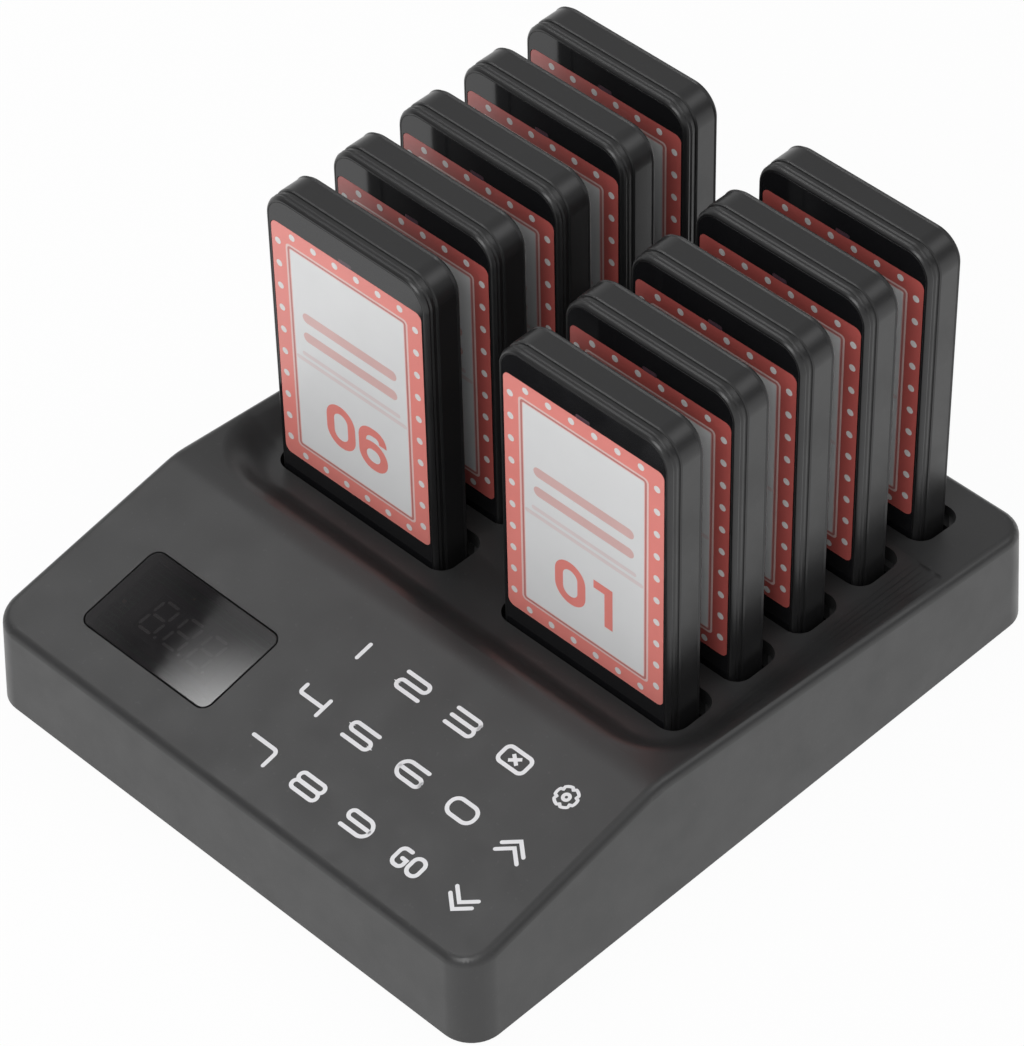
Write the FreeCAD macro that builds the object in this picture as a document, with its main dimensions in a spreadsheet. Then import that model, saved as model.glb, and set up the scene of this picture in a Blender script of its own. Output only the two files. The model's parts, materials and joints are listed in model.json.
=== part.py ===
"""Charging base for guest pagers, with ten pagers standing in two columns of five slots.

Row frame: +X to the right of a person at the panel, +Y away from that person, +Z up.
The origin is on the table, under the middle of the base. All sizes are in millimetres.
"""
import FreeCAD, Part
import math
import os
import re
import Sketcher
from FreeCAD import Placement, Rotation, Vector

doc = FreeCAD.newDocument("guest_pager_system")
sheet = doc.addObject("Spreadsheet::Sheet", "sizes")

# Driving dimensions, in millimetres or degrees. Counts are plain numbers.
SIZES = {
    # Housing: outline on the table, side profile, walls
    "base_width": 160.0,
    "base_depth": 190.0,
    "corner_radius": 8.5,
    "wall_draft": 2.0,
    "front_height": 26.1,
    "crease_height": 38.85,
    "back_height": 28.4,
    "crease_ahead": 34.7,
    "crease_radius": 20.0,
    "edge_radius": 2.6,
    "cover_wall": 2.4,
    "roof_wall": 2.2,
    "foot_proud": 1.0,
    # Recess round the slots: level floor, soft sides
    "recess_floor_height": 30.7,
    "recess_floor_width": 133.0,
    "recess_ahead": 20.0,
    "recess_radius": 9.0,
    "recess_slope": 11.5,
    "recess_end_gap": 1.2,
    "recess_bands": 7,
    # Slots
    "slot_columns": 2,
    "slot_rows": 5,
    "column_gap": 21.3,
    "behind_last_row": 14.4,
    "first_face_ahead": 14.5,
    "mouth_width": 57.2,
    "mouth_depth": 15.3,
    "mouth_ahead": 0.8,
    "mouth_radius": 4.5,
    "lead_in": 4.0,
    "slot_side_gap": 0.75,
    "slot_face_gap": 0.5,
    "seat_height": 14.0,
    "seat_floor": 1.6,
    "well_wall": 1.5,
    # Pager
    "pager_width": 52.7,
    "pager_height": 103.2,
    "pager_thickness": 10.7,
    "pager_radius": 7.5,
    "pager_edge": 1.1,
    "front_case_depth": 2.6,
    "parting_gap": 0.8,
    "parting_depth": 0.6,
    "case_wall": 1.6,
    "back_wall": 1.4,
    "card_width": 48.7,
    "card_height": 72.5,
    "card_radius": 2.0,
    "card_thickness": 0.4,
    "card_above_bottom": 22.4,
    "card_gap": 0.1,
    # Pager electronics
    "pager_board_side": 3.85,
    "pager_board_end": 3.1,
    "pager_board_thickness": 1.0,
    "cell_width": 34.0,
    "cell_height": 48.0,
    "cell_gap": 0.1,
    "cell_above_centre": 6.0,
    "motor_side": 10.0,
    "motor_thickness": 3.0,
    "motor_below_centre": 32.0,
    "pad_width": 7.0,
    "pad_depth": 3.4,
    "pad_height": 6.0,
    "pad_gap": 0.1,
    "pad_spacing": 24.0,
    # Touch panel
    "touch_gap": 0.1,
    "key_columns": 5,
    "key_rows": 3,
    "key_first": 0.2,
    "key_last": 15.8,
    "key_row_first": 13.6,
    "key_row_last": 13.8332,
    "touch_pad_side": 7.0,
    "window_width": 42.5,
    "window_height": 25.7,
    "window_side": 40.7,
    "window_up": 26.2,
    "window_radius": 2.9,
    "window_thickness": 1.5,
    "window_gap": 0.15,
    "window_ledge": 1.9,
    "display_width": 30.0,
    "display_height": 14.0,
    "display_drop": 0.4,
    "digit_count": 3,
    "digit_pitch": 8.05,
    "digit_width": 6.6,
    "digit_height": 11.0,
    "board_side": 11.0,
    "board_back": 7.6332,
    "board_up": 9.5,
    "board_below": 8.8,
    "board_thickness": 1.6,
    "boss_side": 6.4,
    "pilot_radius": 1.45,
    "stake_side": 2.0,
    "stake_head_side": 3.6,
    "stake_head": 0.9,
    "stake_gap": 0.1,
    "chip_side": 12.0,
    "chip_thickness": 1.4,
    "socket_width": 16.0,
    "socket_depth": 5.0,
    "socket_height": 4.4,
    "radio_width": 18.0,
    "radio_depth": 14.0,
    "radio_board": 1.0,
    "radio_can_height": 2.2,
    "radio_left": 18.0,
    "antenna_length": 24.0,
    "antenna_width": 6.0,
    "antenna_thickness": 0.8,
    "antenna_gap": 0.3,
    "beeper_side": 11.0,
    "beeper_height": 5.4,
    "beeper_port": 3.0,
    "beeper_right": 30.0,
    # Charge board and its contacts
    "charge_side": 17.0,
    "charge_ahead": 20.0,
    "charge_back": 5.0,
    "charge_height": 6.4,
    "charge_thickness": 1.6,
    "contact_width": 2.4,
    "contact_strip": 0.3,
    "contact_foot": 2.6,
    "contact_reach": 3.2,
    "contact_crest": 1.2,
    "contact_gap": 0.1,
    "contact_window_gap": 0.5,
    "post_side": 5.0,
    "peg_side": 2.0,
    "peg_gap": 0.1,
    "post_in": 6.0,
    # Ribbon from the main board to the charge board
    "ribbon_width": 14.0,
    "ribbon_thickness": 0.8,
    "ribbon_drop": 3.0,
    "ribbon_run": 6.0,
    "socket_in": 5.0,
    # Back wall
    "jack_width": 9.0,
    "jack_length": 14.0,
    "jack_height": 11.0,
    "jack_bore_radius": 3.15,
    "jack_bore_depth": 9.5,
    "jack_bore_drop": 4.5,
    "jack_pin_radius": 1.05,
    "jack_pin_length": 8.5,
    "jack_wall_radius": 4.0,
    "jack_gap": 0.1,
    "switch_left": 30.0,
    "switch_width": 12.0,
    "switch_depth": 5.0,
    "switch_height": 5.6,
    "switch_travel": 3.0,
    "slider_width": 3.0,
    "slider_height": 2.6,
    "slider_gap": 0.15,
    "slider_root": 3.0,
    "slider_inset": 0.3,
    # Bottom cover, feet and screws
    "sound_slots": 3,
    "sound_length": 14.0,
    "sound_width": 1.6,
    "sound_pitch": 3.4,
    "bottom_thickness": 2.4,
    "bottom_gap": 0.3,
    "foot_side": 12.0,
    "foot_taper": 0.6,
    "foot_recess": 0.8,
    "foot_gap": 0.1,
    "foot_side_inset": 16.0,
    "foot_end_inset": 19.0,
    "screw_side_inset": 8.0,
    "screw_back_inset": 8.0,
    "screw_radius": 1.4,
    "screw_hole_radius": 1.7,
    "screw_length": 12.0,
    "head_across": 2.9,
    "head_height": 1.2,
    "head_gap": 0.2,
    "tongue_width": 16.0,
    "tongue_reach": 1.3,
    "tongue_thickness": 1.2,
    "tongue_across": 45.0,
    "tongue_gap": 0.15,
    # How far a cutting tool runs past what it cuts
    "overrun": 4.0,
}

for row_number, (alias_name, value) in enumerate(SIZES.items(), start=1):
    sheet.set(f"A{row_number}", alias_name)
    sheet.set(f"B{row_number}", str(value))
    sheet.setAlias(f"B{row_number}", alias_name)
doc.recompute()


# Reading and binding sizes

def size(alias_name):
    """The value of one cell of the sheet."""
    return float(sheet.get(alias_name))


def formula(text):
    """An expression in which each alias is looked up in the sheet."""
    return re.sub(r"[a-z_]+", lambda m: f"sizes.{m.group(0)}" if m.group(0) in SIZES else m.group(0), text)


def bind(thing, **properties):
    """Ties properties to formulas. A double underscore in a name stands for a dot."""
    for name, text in properties.items():
        thing.setExpression(name.replace("__", "."), formula(text))
    return thing


def place(thing, x="0", y="0", z="0", tilt=None):
    """Ties a thing's place to formulas, and its turn about X where one is given."""
    if tilt:
        thing.Placement = Placement(Vector(), Rotation(Vector(1, 0, 0), 1))
        bind(thing, Placement__Rotation__Angle=tilt)
    return bind(thing, Placement__Base__x=x, Placement__Base__y=y, Placement__Base__z=z)


# Plain solids

def box(name, length, width, height, x, y, z, tilt=None):
    """A box from its low corner."""
    solid = doc.addObject("Part::Box", name)
    bind(solid, Length=length, Width=width, Height=height)
    return place(solid, x, y, z, tilt)


def centred_box(name, length, width, height, x, y, z, tilt=None):
    """A box from the middle of its low face."""
    return box(name, length, width, height, f"{x} - ({length}) / 2", f"{y} - ({width}) / 2", z, tilt)


def cylinder(name, radius, height, x, y, z, tilt=None):
    """A cylinder from the middle of its low face, upright unless it is tilted."""
    solid = doc.addObject("Part::Cylinder", name)
    bind(solid, Radius=radius, Height=height)
    return place(solid, x, y, z, tilt)


def cut(name, base, *tools):
    """One solid less others."""
    tool = tools[0] if len(tools) == 1 else fuse(f"{name}_tools", *tools)
    result = doc.addObject("Part::Cut", name)
    result.Base, result.Tool = base, tool
    return result


def fuse(name, *shapes):
    """Several solids joined into one."""
    result = doc.addObject("Part::MultiFuse", name)
    result.Shapes = list(shapes)
    return result


def group(name, *shapes):
    """Separate solids kept in one node."""
    result = doc.addObject("Part::Compound", name)
    result.Links = list(shapes)
    return result


def copy_of(name, master, x="0", y="0", z="0", tilt=None):
    """A linked copy of a solid, at its own place."""
    link = doc.addObject("App::Link", name)
    link.LinkedObject = master
    return place(link, x, y, z, tilt)


def computed(name, shape):
    """A solid that is worked out below from the sheet's sizes."""
    feature = doc.addObject("Part::Feature", name)
    feature.Shape = shape
    return feature


# Sketched solids

def new_body(name):
    return doc.addObject("PartDesign::Body", name)


def new_sketch(body, name, plane, level="0"):
    """A sketch on one of the body's origin planes, raised by a formula."""
    sketch = body.newObject("Sketcher::SketchObject", name)
    origin_plane = next(f for f in body.Origin.OriginFeatures if f.Role == plane)
    sketch.AttachmentSupport = (origin_plane, [""])
    sketch.MapMode = "FlatFace"
    bind(sketch, AttachmentOffset__Base__z=level)
    return sketch


def polygon(sketch, corners):
    """A closed polygon whose corners are pairs of formulas. It starts as a regular one."""
    turns = [2 * math.pi * i / len(corners) for i in range(len(corners))]
    starts = [Vector(math.cos(turn), math.sin(turn)) for turn in turns]
    for here, there in zip(starts, starts[1:] + starts[:1]):
        sketch.addGeometry(Part.LineSegment(here, there), False)
    for i in range(len(corners)):
        sketch.addConstraint(Sketcher.Constraint("Coincident", i, 2, (i + 1) % len(corners), 1))
    for i, texts in enumerate(corners):
        for kind, text in zip(("DistanceX", "DistanceY"), texts):
            index = sketch.addConstraint(Sketcher.Constraint(kind, -1, 1, i, 1, 1.0))
            sketch.setExpression(f"Constraints[{index}]", formula(text))
    return sketch


def rectangle_corners(width, height, x="0", y="0"):
    left, right = f"{x} - ({width}) / 2", f"{x} + ({width}) / 2"
    low, high = f"{y} - ({height}) / 2", f"{y} + ({height}) / 2"
    return [(left, low), (right, low), (right, high), (left, high)]


def cut_rectangle(width, height, radius, x="0", y="0"):
    """A rectangle with cut corners, each cut touching the middle of a corner arc of that radius."""
    corners = []
    clip = f"({radius}) * (2 - sqrt(2))"
    for i, (along, up) in enumerate(rectangle_corners(width, height, x, y)):
        inward = f"{along} {'+' if i in (0, 3) else '-'} {clip}"
        upward = f"{up} {'+' if i < 2 else '-'} {clip}"
        corners += [(along, upward), (inward, up)] if i % 2 == 0 else [(inward, up), (along, upward)]
    return corners


def pad(body, sketch, name, length, midplane=False, reversed_way=False):
    feature = body.newObject("PartDesign::Pad", name)
    feature.Profile = sketch
    feature.Midplane = midplane
    feature.Reversed = reversed_way
    return bind(feature, Length=length)


def pocket(body, sketch, name, length, midplane=False, reversed_way=False):
    feature = body.newObject("PartDesign::Pocket", name)
    feature.Profile = sketch
    feature.Midplane = midplane
    feature.Reversed = reversed_way
    return bind(feature, Length=length)


def edge_names(feature, wanted):
    """Names of the feature's edges for which wanted(edge) is true."""
    return [f"Edge{i}" for i, edge in enumerate(feature.Shape.Edges, start=1) if wanted(edge)]


def face_names(feature, wanted):
    return [f"Face{i}" for i, face in enumerate(feature.Shape.Faces, start=1) if wanted(face)]


def dress(body, kind, name, base, sub_names, **properties):
    """A fillet, chamfer or draft on named edges or faces of the feature before it."""
    feature = body.newObject(f"PartDesign::{kind}", name)
    feature.Base = (base, sub_names)
    bind(feature, **properties)
    doc.recompute()
    return feature


def runs_along(edge, axis):
    """True for a straight edge within a few degrees of the axis."""
    if edge.Curve.TypeId != "Part::GeomLine":
        return False
    return abs(edge.tangentAt(edge.FirstParameter).dot(axis)) > STRAIGHT_SHARE


def face_normal(face):
    low_u, high_u, low_v, high_v = face.ParameterRange
    return face.normalAt((low_u + high_u) / 2, (low_v + high_v) / 2)


STRAIGHT_SHARE = 0.99
X_AXIS, Y_AXIS, Z_AXIS = Vector(1, 0, 0), Vector(0, 1, 0), Vector(0, 0, 1)

def plate(name, corners, thickness, level="0"):
    """A plate on an outline, with its thickness along its own Z."""
    body = new_body(name)
    outline = new_sketch(body, f"{name}_outline", "XY_Plane", level)
    polygon(outline, corners)
    pad(body, outline, f"{name}_plate", thickness)
    doc.recompute()
    return body


def rounded_plate(name, width, height, radius, thickness):
    """A rectangular plate with round corners."""
    body = plate(name, rectangle_corners(width, height), thickness)
    uprights = edge_names(body.Tip, lambda edge: runs_along(edge, Z_AXIS))
    dress(body, "Fillet", f"{name}_corners", body.Tip, uprights, Radius=radius)
    return body


# Formulas that several pieces share

PANEL_RUN = "(base_depth / 2 - crease_ahead)"
PANEL_SLOPE = f"((crease_height - front_height) / {PANEL_RUN})"
DECK_SLOPE = "((crease_height - back_height) / (base_depth / 2 + crease_ahead))"
PANEL_TILT = f"atan({PANEL_SLOPE})"
PANEL_LENGTH = f"({PANEL_RUN} / cos({PANEL_TILT}))"
KEY_PITCH = "((base_width / 2 - key_last - key_first) / (key_columns - 1))"
KEY_ROW_PITCH = f"(({PANEL_LENGTH} - key_row_last - key_row_first) / (key_rows - 1))"
COLUMN_SPACING = "(pager_width + column_gap)"
ROW_SPAN = "(base_depth / 2 + first_face_ahead - pager_thickness - behind_last_row)"
ROW_PITCH = f"({ROW_SPAN} / (slot_rows - 1))"
BOTTOM_TOP = "(foot_proud + bottom_thickness)"
CHARGE_TOP = "(charge_height + charge_thickness)"
WELL_WIDTH = "(pager_width + 2 * slot_side_gap)"
WELL_DEPTH = "(pager_thickness + 2 * slot_face_gap)"
CHARGE_WIDTH = "(base_width - 2 * charge_side)"
CHARGE_END = "(base_depth / 2 - charge_back)"


# Top cover: outer block, cavity, recess, wells

def roofed_block(name, corners, drop, start):
    """A drafted block on an outline, under the roof profile lowered as asked. Corners of the block come rounded
    where the outline has four of them."""
    body = new_body(name)
    outline = new_sketch(body, f"{name}_outline", "XY_Plane", start)
    polygon(outline, corners)
    block = pad(body, outline, f"{name}_block", "crease_height")
    doc.recompute()
    sides = face_names(block, lambda face: abs(face_normal(face).z) < 1 - STRAIGHT_SHARE)
    floor = face_names(block, lambda face: face_normal(face).z < -STRAIGHT_SHARE)
    drafted = body.newObject("PartDesign::Draft", f"{name}_draft")
    drafted.Base = (block, sides)
    drafted.NeutralPlane = (block, floor)
    bind(drafted, Angle="wall_draft")
    doc.recompute()
    if len(corners) == 4:
        uprights = edge_names(drafted, lambda edge: abs(edge.tangentAt(edge.FirstParameter).z) > STRAIGHT_SHARE)
        dress(body, "Fillet", f"{name}_corners", drafted, uprights, Radius="corner_radius")
    profile = new_sketch(body, f"{name}_profile", "YZ_Plane")
    ahead, behind = "base_depth / 2 + overrun", "2 * crease_height"
    polygon(profile, [
        (f"-({ahead})", f"front_height - {drop} - overrun * {PANEL_SLOPE}"),
        ("-crease_ahead", f"crease_height - {drop}"),
        (ahead, f"back_height - {drop} - overrun * {DECK_SLOPE}"),
        (ahead, behind),
        (f"-({ahead})", behind),
    ])
    pocket(body, profile, f"{name}_roof", "2 * base_width", midplane=True)
    doc.recompute()
    return body


def cover_block():
    """The outer form: roof with a soft crease and a rounded rim."""
    body = roofed_block("cover_outer", rectangle_corners("base_width", "base_depth"), "0", "foot_proud")
    crease_place = -size("crease_ahead")
    crease = edge_names(body.Tip, lambda edge: runs_along(edge, X_AXIS)
                        and abs(edge.CenterOfMass.y - crease_place) < size("edge_radius"))
    soft = dress(body, "Fillet", "cover_crease", body.Tip, crease, Radius="crease_radius")

    def on_rim(edge):
        faces = soft.Shape.ancestorsOfType(edge, Part.Face)
        rises = sorted(face_normal(face).z for face in faces)
        return rises[0] < ROOF_SHARE < rises[-1] and edge.CenterOfMass.z > size("front_height") / 2

    rim = edge_names(soft, on_rim)
    dress(body, "Fillet", "cover_rim", soft, rim, Radius="edge_radius")
    return body


ROOF_SHARE = 0.7


def deck_height(y):
    slope = (size("crease_height") - size("back_height")) / (size("base_depth") / 2 + size("crease_ahead"))
    return size("crease_height") - slope * (y + size("crease_ahead"))


def recess_tool():
    """What the recess removes: bands that fan from its level floor up to the sloping deck, in a soft S."""
    floor = size("recess_floor_height")
    slope = (deck_height(0) - deck_height(1))
    end = (deck_height(0) - floor) / slope - size("recess_end_gap") / 2
    sections = []
    bands = int(size("recess_bands"))
    for band in range(bands + 1):
        across = band / bands
        up = across ** 2 * (3 - 2 * across)
        grown = size("recess_slope") * across
        x = size("recess_floor_width") / 2 + grown
        front = -size("recess_ahead") - grown
        radius = size("recess_radius") + grown
        reach = radius * (1 - math.sqrt(0.5))
        outline = [(-x + radius, front), (x - radius, front), (x - reach, front + reach), (x, front + radius),
                   (x, end), (-x, end), (-x, front + radius), (-x + reach, front + reach)]
        points = [Vector(px, py, floor + up * (deck_height(py) - floor)) for px, py in outline]
        sections.append(Part.Wire([
            Part.LineSegment(points[0], points[1]).toShape(),
            Part.Arc(points[1], points[2], points[3]).toShape(),
            Part.LineSegment(points[3], points[4]).toShape(),
            Part.LineSegment(points[4], points[5]).toShape(),
            Part.LineSegment(points[5], points[6]).toShape(),
            Part.Arc(points[6], points[7], points[0]).toShape(),
        ]))
    loft = Part.makeLoft(sections, True, True)
    low = Vector(-size("base_width") / 2, end - size("recess_end_gap"), 0)
    past_end = Part.makeBox(size("base_width"), size("base_depth"), 2 * size("crease_height"), low)
    return computed("recess_tool", loft.cut(past_end))


def recess_underside():
    """The thickness kept under the recess, as a flaring block that the cavity stays clear of."""
    block = doc.addObject("Part::Wedge", "recess_underside")
    block.Placement = Placement(Vector(), Rotation(X_AXIS, 90))
    half, ahead = "(recess_floor_width / 2 + roof_wall)", "(recess_ahead + roof_wall)"
    bind(block, Xmin=f"-{half}", Xmax=half, Zmin=f"-{ahead} - base_depth", Zmax=ahead, Ymin="0",
         X2min=f"-{half} - recess_slope", X2max=f"{half} + recess_slope",
         Z2min=f"-{ahead} - base_depth", Z2max=f"{ahead} + recess_slope", Ymax="recess_slope",
         Placement__Base__z="recess_floor_height - roof_wall")
    return block


def in_slots(name, master):
    """Ten linked copies of a solid that is drawn at a pager's place."""
    copies = []
    for index in range(int(size("slot_columns") * size("slot_rows"))):
        column, row = divmod(index, int(size("slot_rows")))
        x = f"{COLUMN_SPACING} * ((slot_columns - 1) / 2 - {column})"
        copies.append(copy_of(f"{name}_{index + 1:02d}", master, x, f"{row} * {ROW_PITCH} - first_face_ahead"))
    return copies


SLOT_MIDDLE = "pager_thickness / 2"
MOUTH_MIDDLE = "(mouth_depth / 2 - mouth_ahead)"
THROAT_TOP = "(recess_floor_height - lead_in)"
PAD_MIDDLE = "(front_case_depth + pager_board_thickness + pad_depth / 2)"


def slot_walls():
    """The outsides of the ten wells: a wide neck over a narrow well."""
    well_low = "(seat_height - seat_floor)"
    neck_low = f"({THROAT_TOP} - well_wall)"
    well = centred_box("well", f"{WELL_WIDTH} + 2 * well_wall", f"{WELL_DEPTH} + 2 * well_wall", "crease_height", "0",
                       SLOT_MIDDLE, well_low)
    neck = centred_box("neck", "mouth_width + 2 * well_wall", "mouth_depth + 2 * well_wall", "crease_height", "0",
                       MOUTH_MIDDLE, neck_low)
    return fuse("slot_walls", *in_slots("slot_wall", fuse("slot_wall", well, neck)))


def slot_tools():
    """What the ten slots remove: round mouth, guide for the pager, windows for its two contacts."""
    mouth = rounded_plate("mouth", "mouth_width", "mouth_depth", "mouth_radius", "lead_in + overrun")
    place(mouth, "0", MOUTH_MIDDLE, THROAT_TOP)
    throat = centred_box("throat", WELL_WIDTH, WELL_DEPTH, f"{THROAT_TOP} + lead_in / 2 - seat_height", "0",
                         SLOT_MIDDLE, "seat_height")
    windows = [centred_box(f"contact_window_{side or '+'}", "contact_width + 2 * contact_window_gap",
                           "pad_depth + 2 * contact_window_gap", "3 * seat_floor", f"{side}pad_spacing / 2",
                           PAD_MIDDLE, "seat_height - 2 * seat_floor") for side in ("-", "")]
    return fuse("slot_tools", *in_slots("slot", fuse("slot", mouth, throat, *windows)))


# Panel frame: v runs up the slope from the front edge, n stands out of it

def on_panel(v, n):
    """Row y and z of a place on the panel, with its tilt, for the functions above."""
    return {
        "y": f"-base_depth / 2 + ({v}) * cos({PANEL_TILT}) - ({n}) * sin({PANEL_TILT})",
        "z": f"front_height + ({v}) * sin({PANEL_TILT}) + ({n}) * cos({PANEL_TILT})",
        "tilt": PANEL_TILT,
    }


def panel_box(name, length, width, height, x, v, n):
    """A box on the panel, from the middle of its low face."""
    return box(name, length, width, height, f"{x} - ({length}) / 2", **on_panel(f"{v} - ({width}) / 2", n))


WINDOW_LEFT = "(base_width / 2 - window_side)"
BOARD_UNDER = "(-board_below - board_thickness)"
BOARD_WIDTH = "(base_width - 2 * board_side)"
BOARD_HEIGHT = f"({PANEL_LENGTH} - board_up - board_back)"
BOARD_MIDDLE = f"(board_up + {BOARD_HEIGHT} / 2)"
SOCKET_UP = f"(board_up + {BOARD_HEIGHT} - socket_in)"


def stake_places():
    """Letter, x and v of the four stakes of the main board, clear of the keys and the window."""
    left = f"-({WINDOW_LEFT} + window_width / 2 + boss_side)"
    right = f"(key_first + 3.5 * {KEY_PITCH})"
    low, high = f"key_row_first + {KEY_ROW_PITCH} / 2", f"key_row_first + 1.5 * {KEY_ROW_PITCH}"
    return [("a", left, low), ("b", right, low), ("c", right, high), ("d", left, high)]


def board_mounts():
    """Bosses down to the main board, each ending in a stake whose head is formed under the board."""
    pieces = []
    for letter, x, v in stake_places():
        pieces.append(panel_box(f"board_boss_{letter}", "boss_side", "boss_side", "board_below", x, v, "-board_below"))
        pieces.append(panel_box(f"stake_{letter}", "stake_side", "stake_side", "board_thickness + overrun", x, v,
                                f"{BOARD_UNDER} - stake_gap"))
        pieces.append(panel_box(f"stake_head_{letter}", "stake_head_side", "stake_head_side", "stake_head", x, v,
                                f"{BOARD_UNDER} - stake_gap - stake_head"))
    return pieces


def window_seat():
    """Pocket for the window's plate, and the opening under it that leaves a ledge."""
    seat = rounded_plate("window_seat", "window_width + 2 * window_gap", "window_height + 2 * window_gap",
                         "window_radius + window_gap", "window_thickness + overrun")
    place(seat, f"-{WINDOW_LEFT}", **on_panel("window_up", "-window_thickness"))
    opening = panel_box("window_opening", "window_width - 2 * window_ledge", "window_height - 2 * window_ledge",
                        "2 * overrun", f"-{WINDOW_LEFT}", "window_up", "-overrun")
    return [seat, opening]


SCREW_SIDE, SCREW_BACK = "(base_width / 2 - screw_side_inset)", "(base_depth / 2 - screw_back_inset)"
SCREW_PLACES = [("l", f"-{SCREW_SIDE}", SCREW_BACK), ("r", SCREW_SIDE, SCREW_BACK)]
TONGUE_PLACES = [("l", "-tongue_across"), ("r", "tongue_across")]
PLATE_INSET = "(cover_wall + bottom_gap)"
TONGUE_TIP = f"(base_depth / 2 - {PLATE_INSET} + tongue_reach)"


def back_wall(height):
    """Row y of the back wall's inner face at a height over the charge board."""
    return f"(base_depth / 2 - cover_wall - jack_gap - ({CHARGE_TOP} + {height} - foot_proud) * tan(wall_draft))"


JACK_BACK = back_wall("jack_height")
JACK_AXIS = f"({CHARGE_TOP} + jack_height - jack_bore_drop)"
SWITCH_BACK = back_wall("switch_height")
SWITCH_AXIS = f"({CHARGE_TOP} + switch_height / 2)"
SLIDE_WIDTH = "(slider_width + switch_travel + 2 * slider_gap)"
SLIDE_HEIGHT = "(slider_height + 2 * slider_gap)"


def top_cover():
    kept = [recess_underside(), slot_walls(), *board_mounts()]
    holes = window_seat()
    for letter, x, y in SCREW_PLACES:
        kept.append(centred_box(f"cover_boss_{letter}", "boss_side", "boss_side", "crease_height", x, y, BOTTOM_TOP))
        holes.append(cylinder(f"cover_pilot_{letter}", "pilot_radius", "screw_length", x, y, BOTTOM_TOP))
    for letter, x in TONGUE_PLACES:
        holes.append(box(f"tongue_slot_{letter}", "tongue_width + 2 * tongue_gap", "2 * tongue_reach",
                         "tongue_thickness + 2 * tongue_gap", f"{x} - tongue_width / 2 - tongue_gap",
                         f"-{TONGUE_TIP} - tongue_gap", f"{BOTTOM_TOP} - tongue_thickness - tongue_gap"))
    inner = cut_rectangle("base_width - 2 * cover_wall", "base_depth - 2 * cover_wall", "corner_radius - cover_wall")
    hollow = cut("cover_hollow", roofed_block("cover_inner", inner, "roof_wall", "foot_proud"), *kept)
    holes.append(cylinder("jack_hole", "jack_wall_radius", "overrun + 2 * cover_wall", "0", "base_depth / 2 + overrun",
                          JACK_AXIS, "90"))
    holes.append(centred_box("switch_slot", SLIDE_WIDTH, "2 * overrun", SLIDE_HEIGHT, "-switch_left",
                             "base_depth / 2", f"{SWITCH_AXIS} - {SLIDE_HEIGHT} / 2"))
    return cut("top_cover", cut("cover_shell", cover_block(), hollow), recess_tool(), slot_tools(), *holes)


# Display and boards under the panel

def display_window():
    window = rounded_plate("display_window", "window_width", "window_height", "window_radius", "window_thickness")
    return place(window, f"-{WINDOW_LEFT}", **on_panel("window_up", "-window_thickness"))


def display_module():
    """Three digit block that stands on the main board under the window."""
    block = panel_box("display_block", "display_width", "display_height",
                      "board_below - window_thickness - display_drop", f"-{WINDOW_LEFT}", "window_up", "-board_below")
    wells = []
    for number in range(int(size("digit_count"))):
        x = f"-{WINDOW_LEFT} + {number} * digit_pitch - (digit_count - 1) * digit_pitch / 2"
        wells.append(panel_box(f"digit_{number}", "digit_width", "digit_height", "overrun", x, "window_up",
                               "-window_thickness - 2 * display_drop"))
    return cut("display_module", block, *wells)


def main_board():
    """Board under the panel, with its processor and the ribbon's socket on the underside."""
    plain = panel_box("board_plain", BOARD_WIDTH, BOARD_HEIGHT, "board_thickness", "0", BOARD_MIDDLE, BOARD_UNDER)
    holes = [panel_box(f"stake_hole_{letter}", "stake_side + 2 * stake_gap", "stake_side + 2 * stake_gap",
                       "board_thickness", x, v, BOARD_UNDER) for letter, x, v in stake_places()]
    chip = panel_box("processor", "chip_side", "chip_side", "chip_thickness", "chip_side", BOARD_MIDDLE,
                     f"{BOARD_UNDER} - chip_thickness")
    socket = panel_box("board_socket", "socket_width", "socket_depth", "socket_height", "0", SOCKET_UP,
                       f"{BOARD_UNDER} - socket_height")
    return group("main_board", cut("board_drilled", plain, *holes), chip, socket)


def touch_pads():
    """A block of conductive foam under each printed key."""
    height = f"board_below - roof_wall * cos({PANEL_TILT}) - touch_gap"
    blocks = []
    for row in range(int(size("key_rows"))):
        for column in range(int(size("key_columns"))):
            x, v = f"key_first + {column} * {KEY_PITCH}", f"key_row_first + {row} * {KEY_ROW_PITCH}"
            blocks.append(panel_box(f"touch_{row}_{column}", "touch_pad_side", "touch_pad_side", height, x, v,
                                    "-board_below"))
    return group("touch_pads", *blocks)


def radio_module():
    carrier = panel_box("radio_carrier", "radio_width", "radio_depth", "radio_board", "-radio_left", BOARD_MIDDLE,
                        f"{BOARD_UNDER} - radio_board")
    can = panel_box("radio_can", "radio_width - 2 * radio_board", "radio_depth - 2 * radio_board", "radio_can_height",
                    "-radio_left", BOARD_MIDDLE, f"{BOARD_UNDER} - radio_board - radio_can_height")
    return group("radio_module", carrier, can)


def antenna():
    """Chip aerial beside the radio module."""
    return panel_box("antenna", "antenna_length", "antenna_width", "antenna_thickness",
                     "-radio_left - radio_width / 2 - antenna_gap - antenna_length / 2", BOARD_MIDDLE,
                     f"{BOARD_UNDER} - antenna_thickness")


def beeper():
    """Beeper with its sound port over the slots in the bottom cover."""
    case = panel_box("beeper_case", "beeper_side", "beeper_side", "beeper_height", "beeper_right", BOARD_MIDDLE,
                     f"{BOARD_UNDER} - beeper_height")
    port = panel_box("beeper_hole", "beeper_port", "beeper_port", "beeper_height / 2", "beeper_right", BOARD_MIDDLE,
                     f"{BOARD_UNDER} - beeper_height")
    return cut("beeper", case, port)


# Bottom cover and what stands on it

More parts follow.
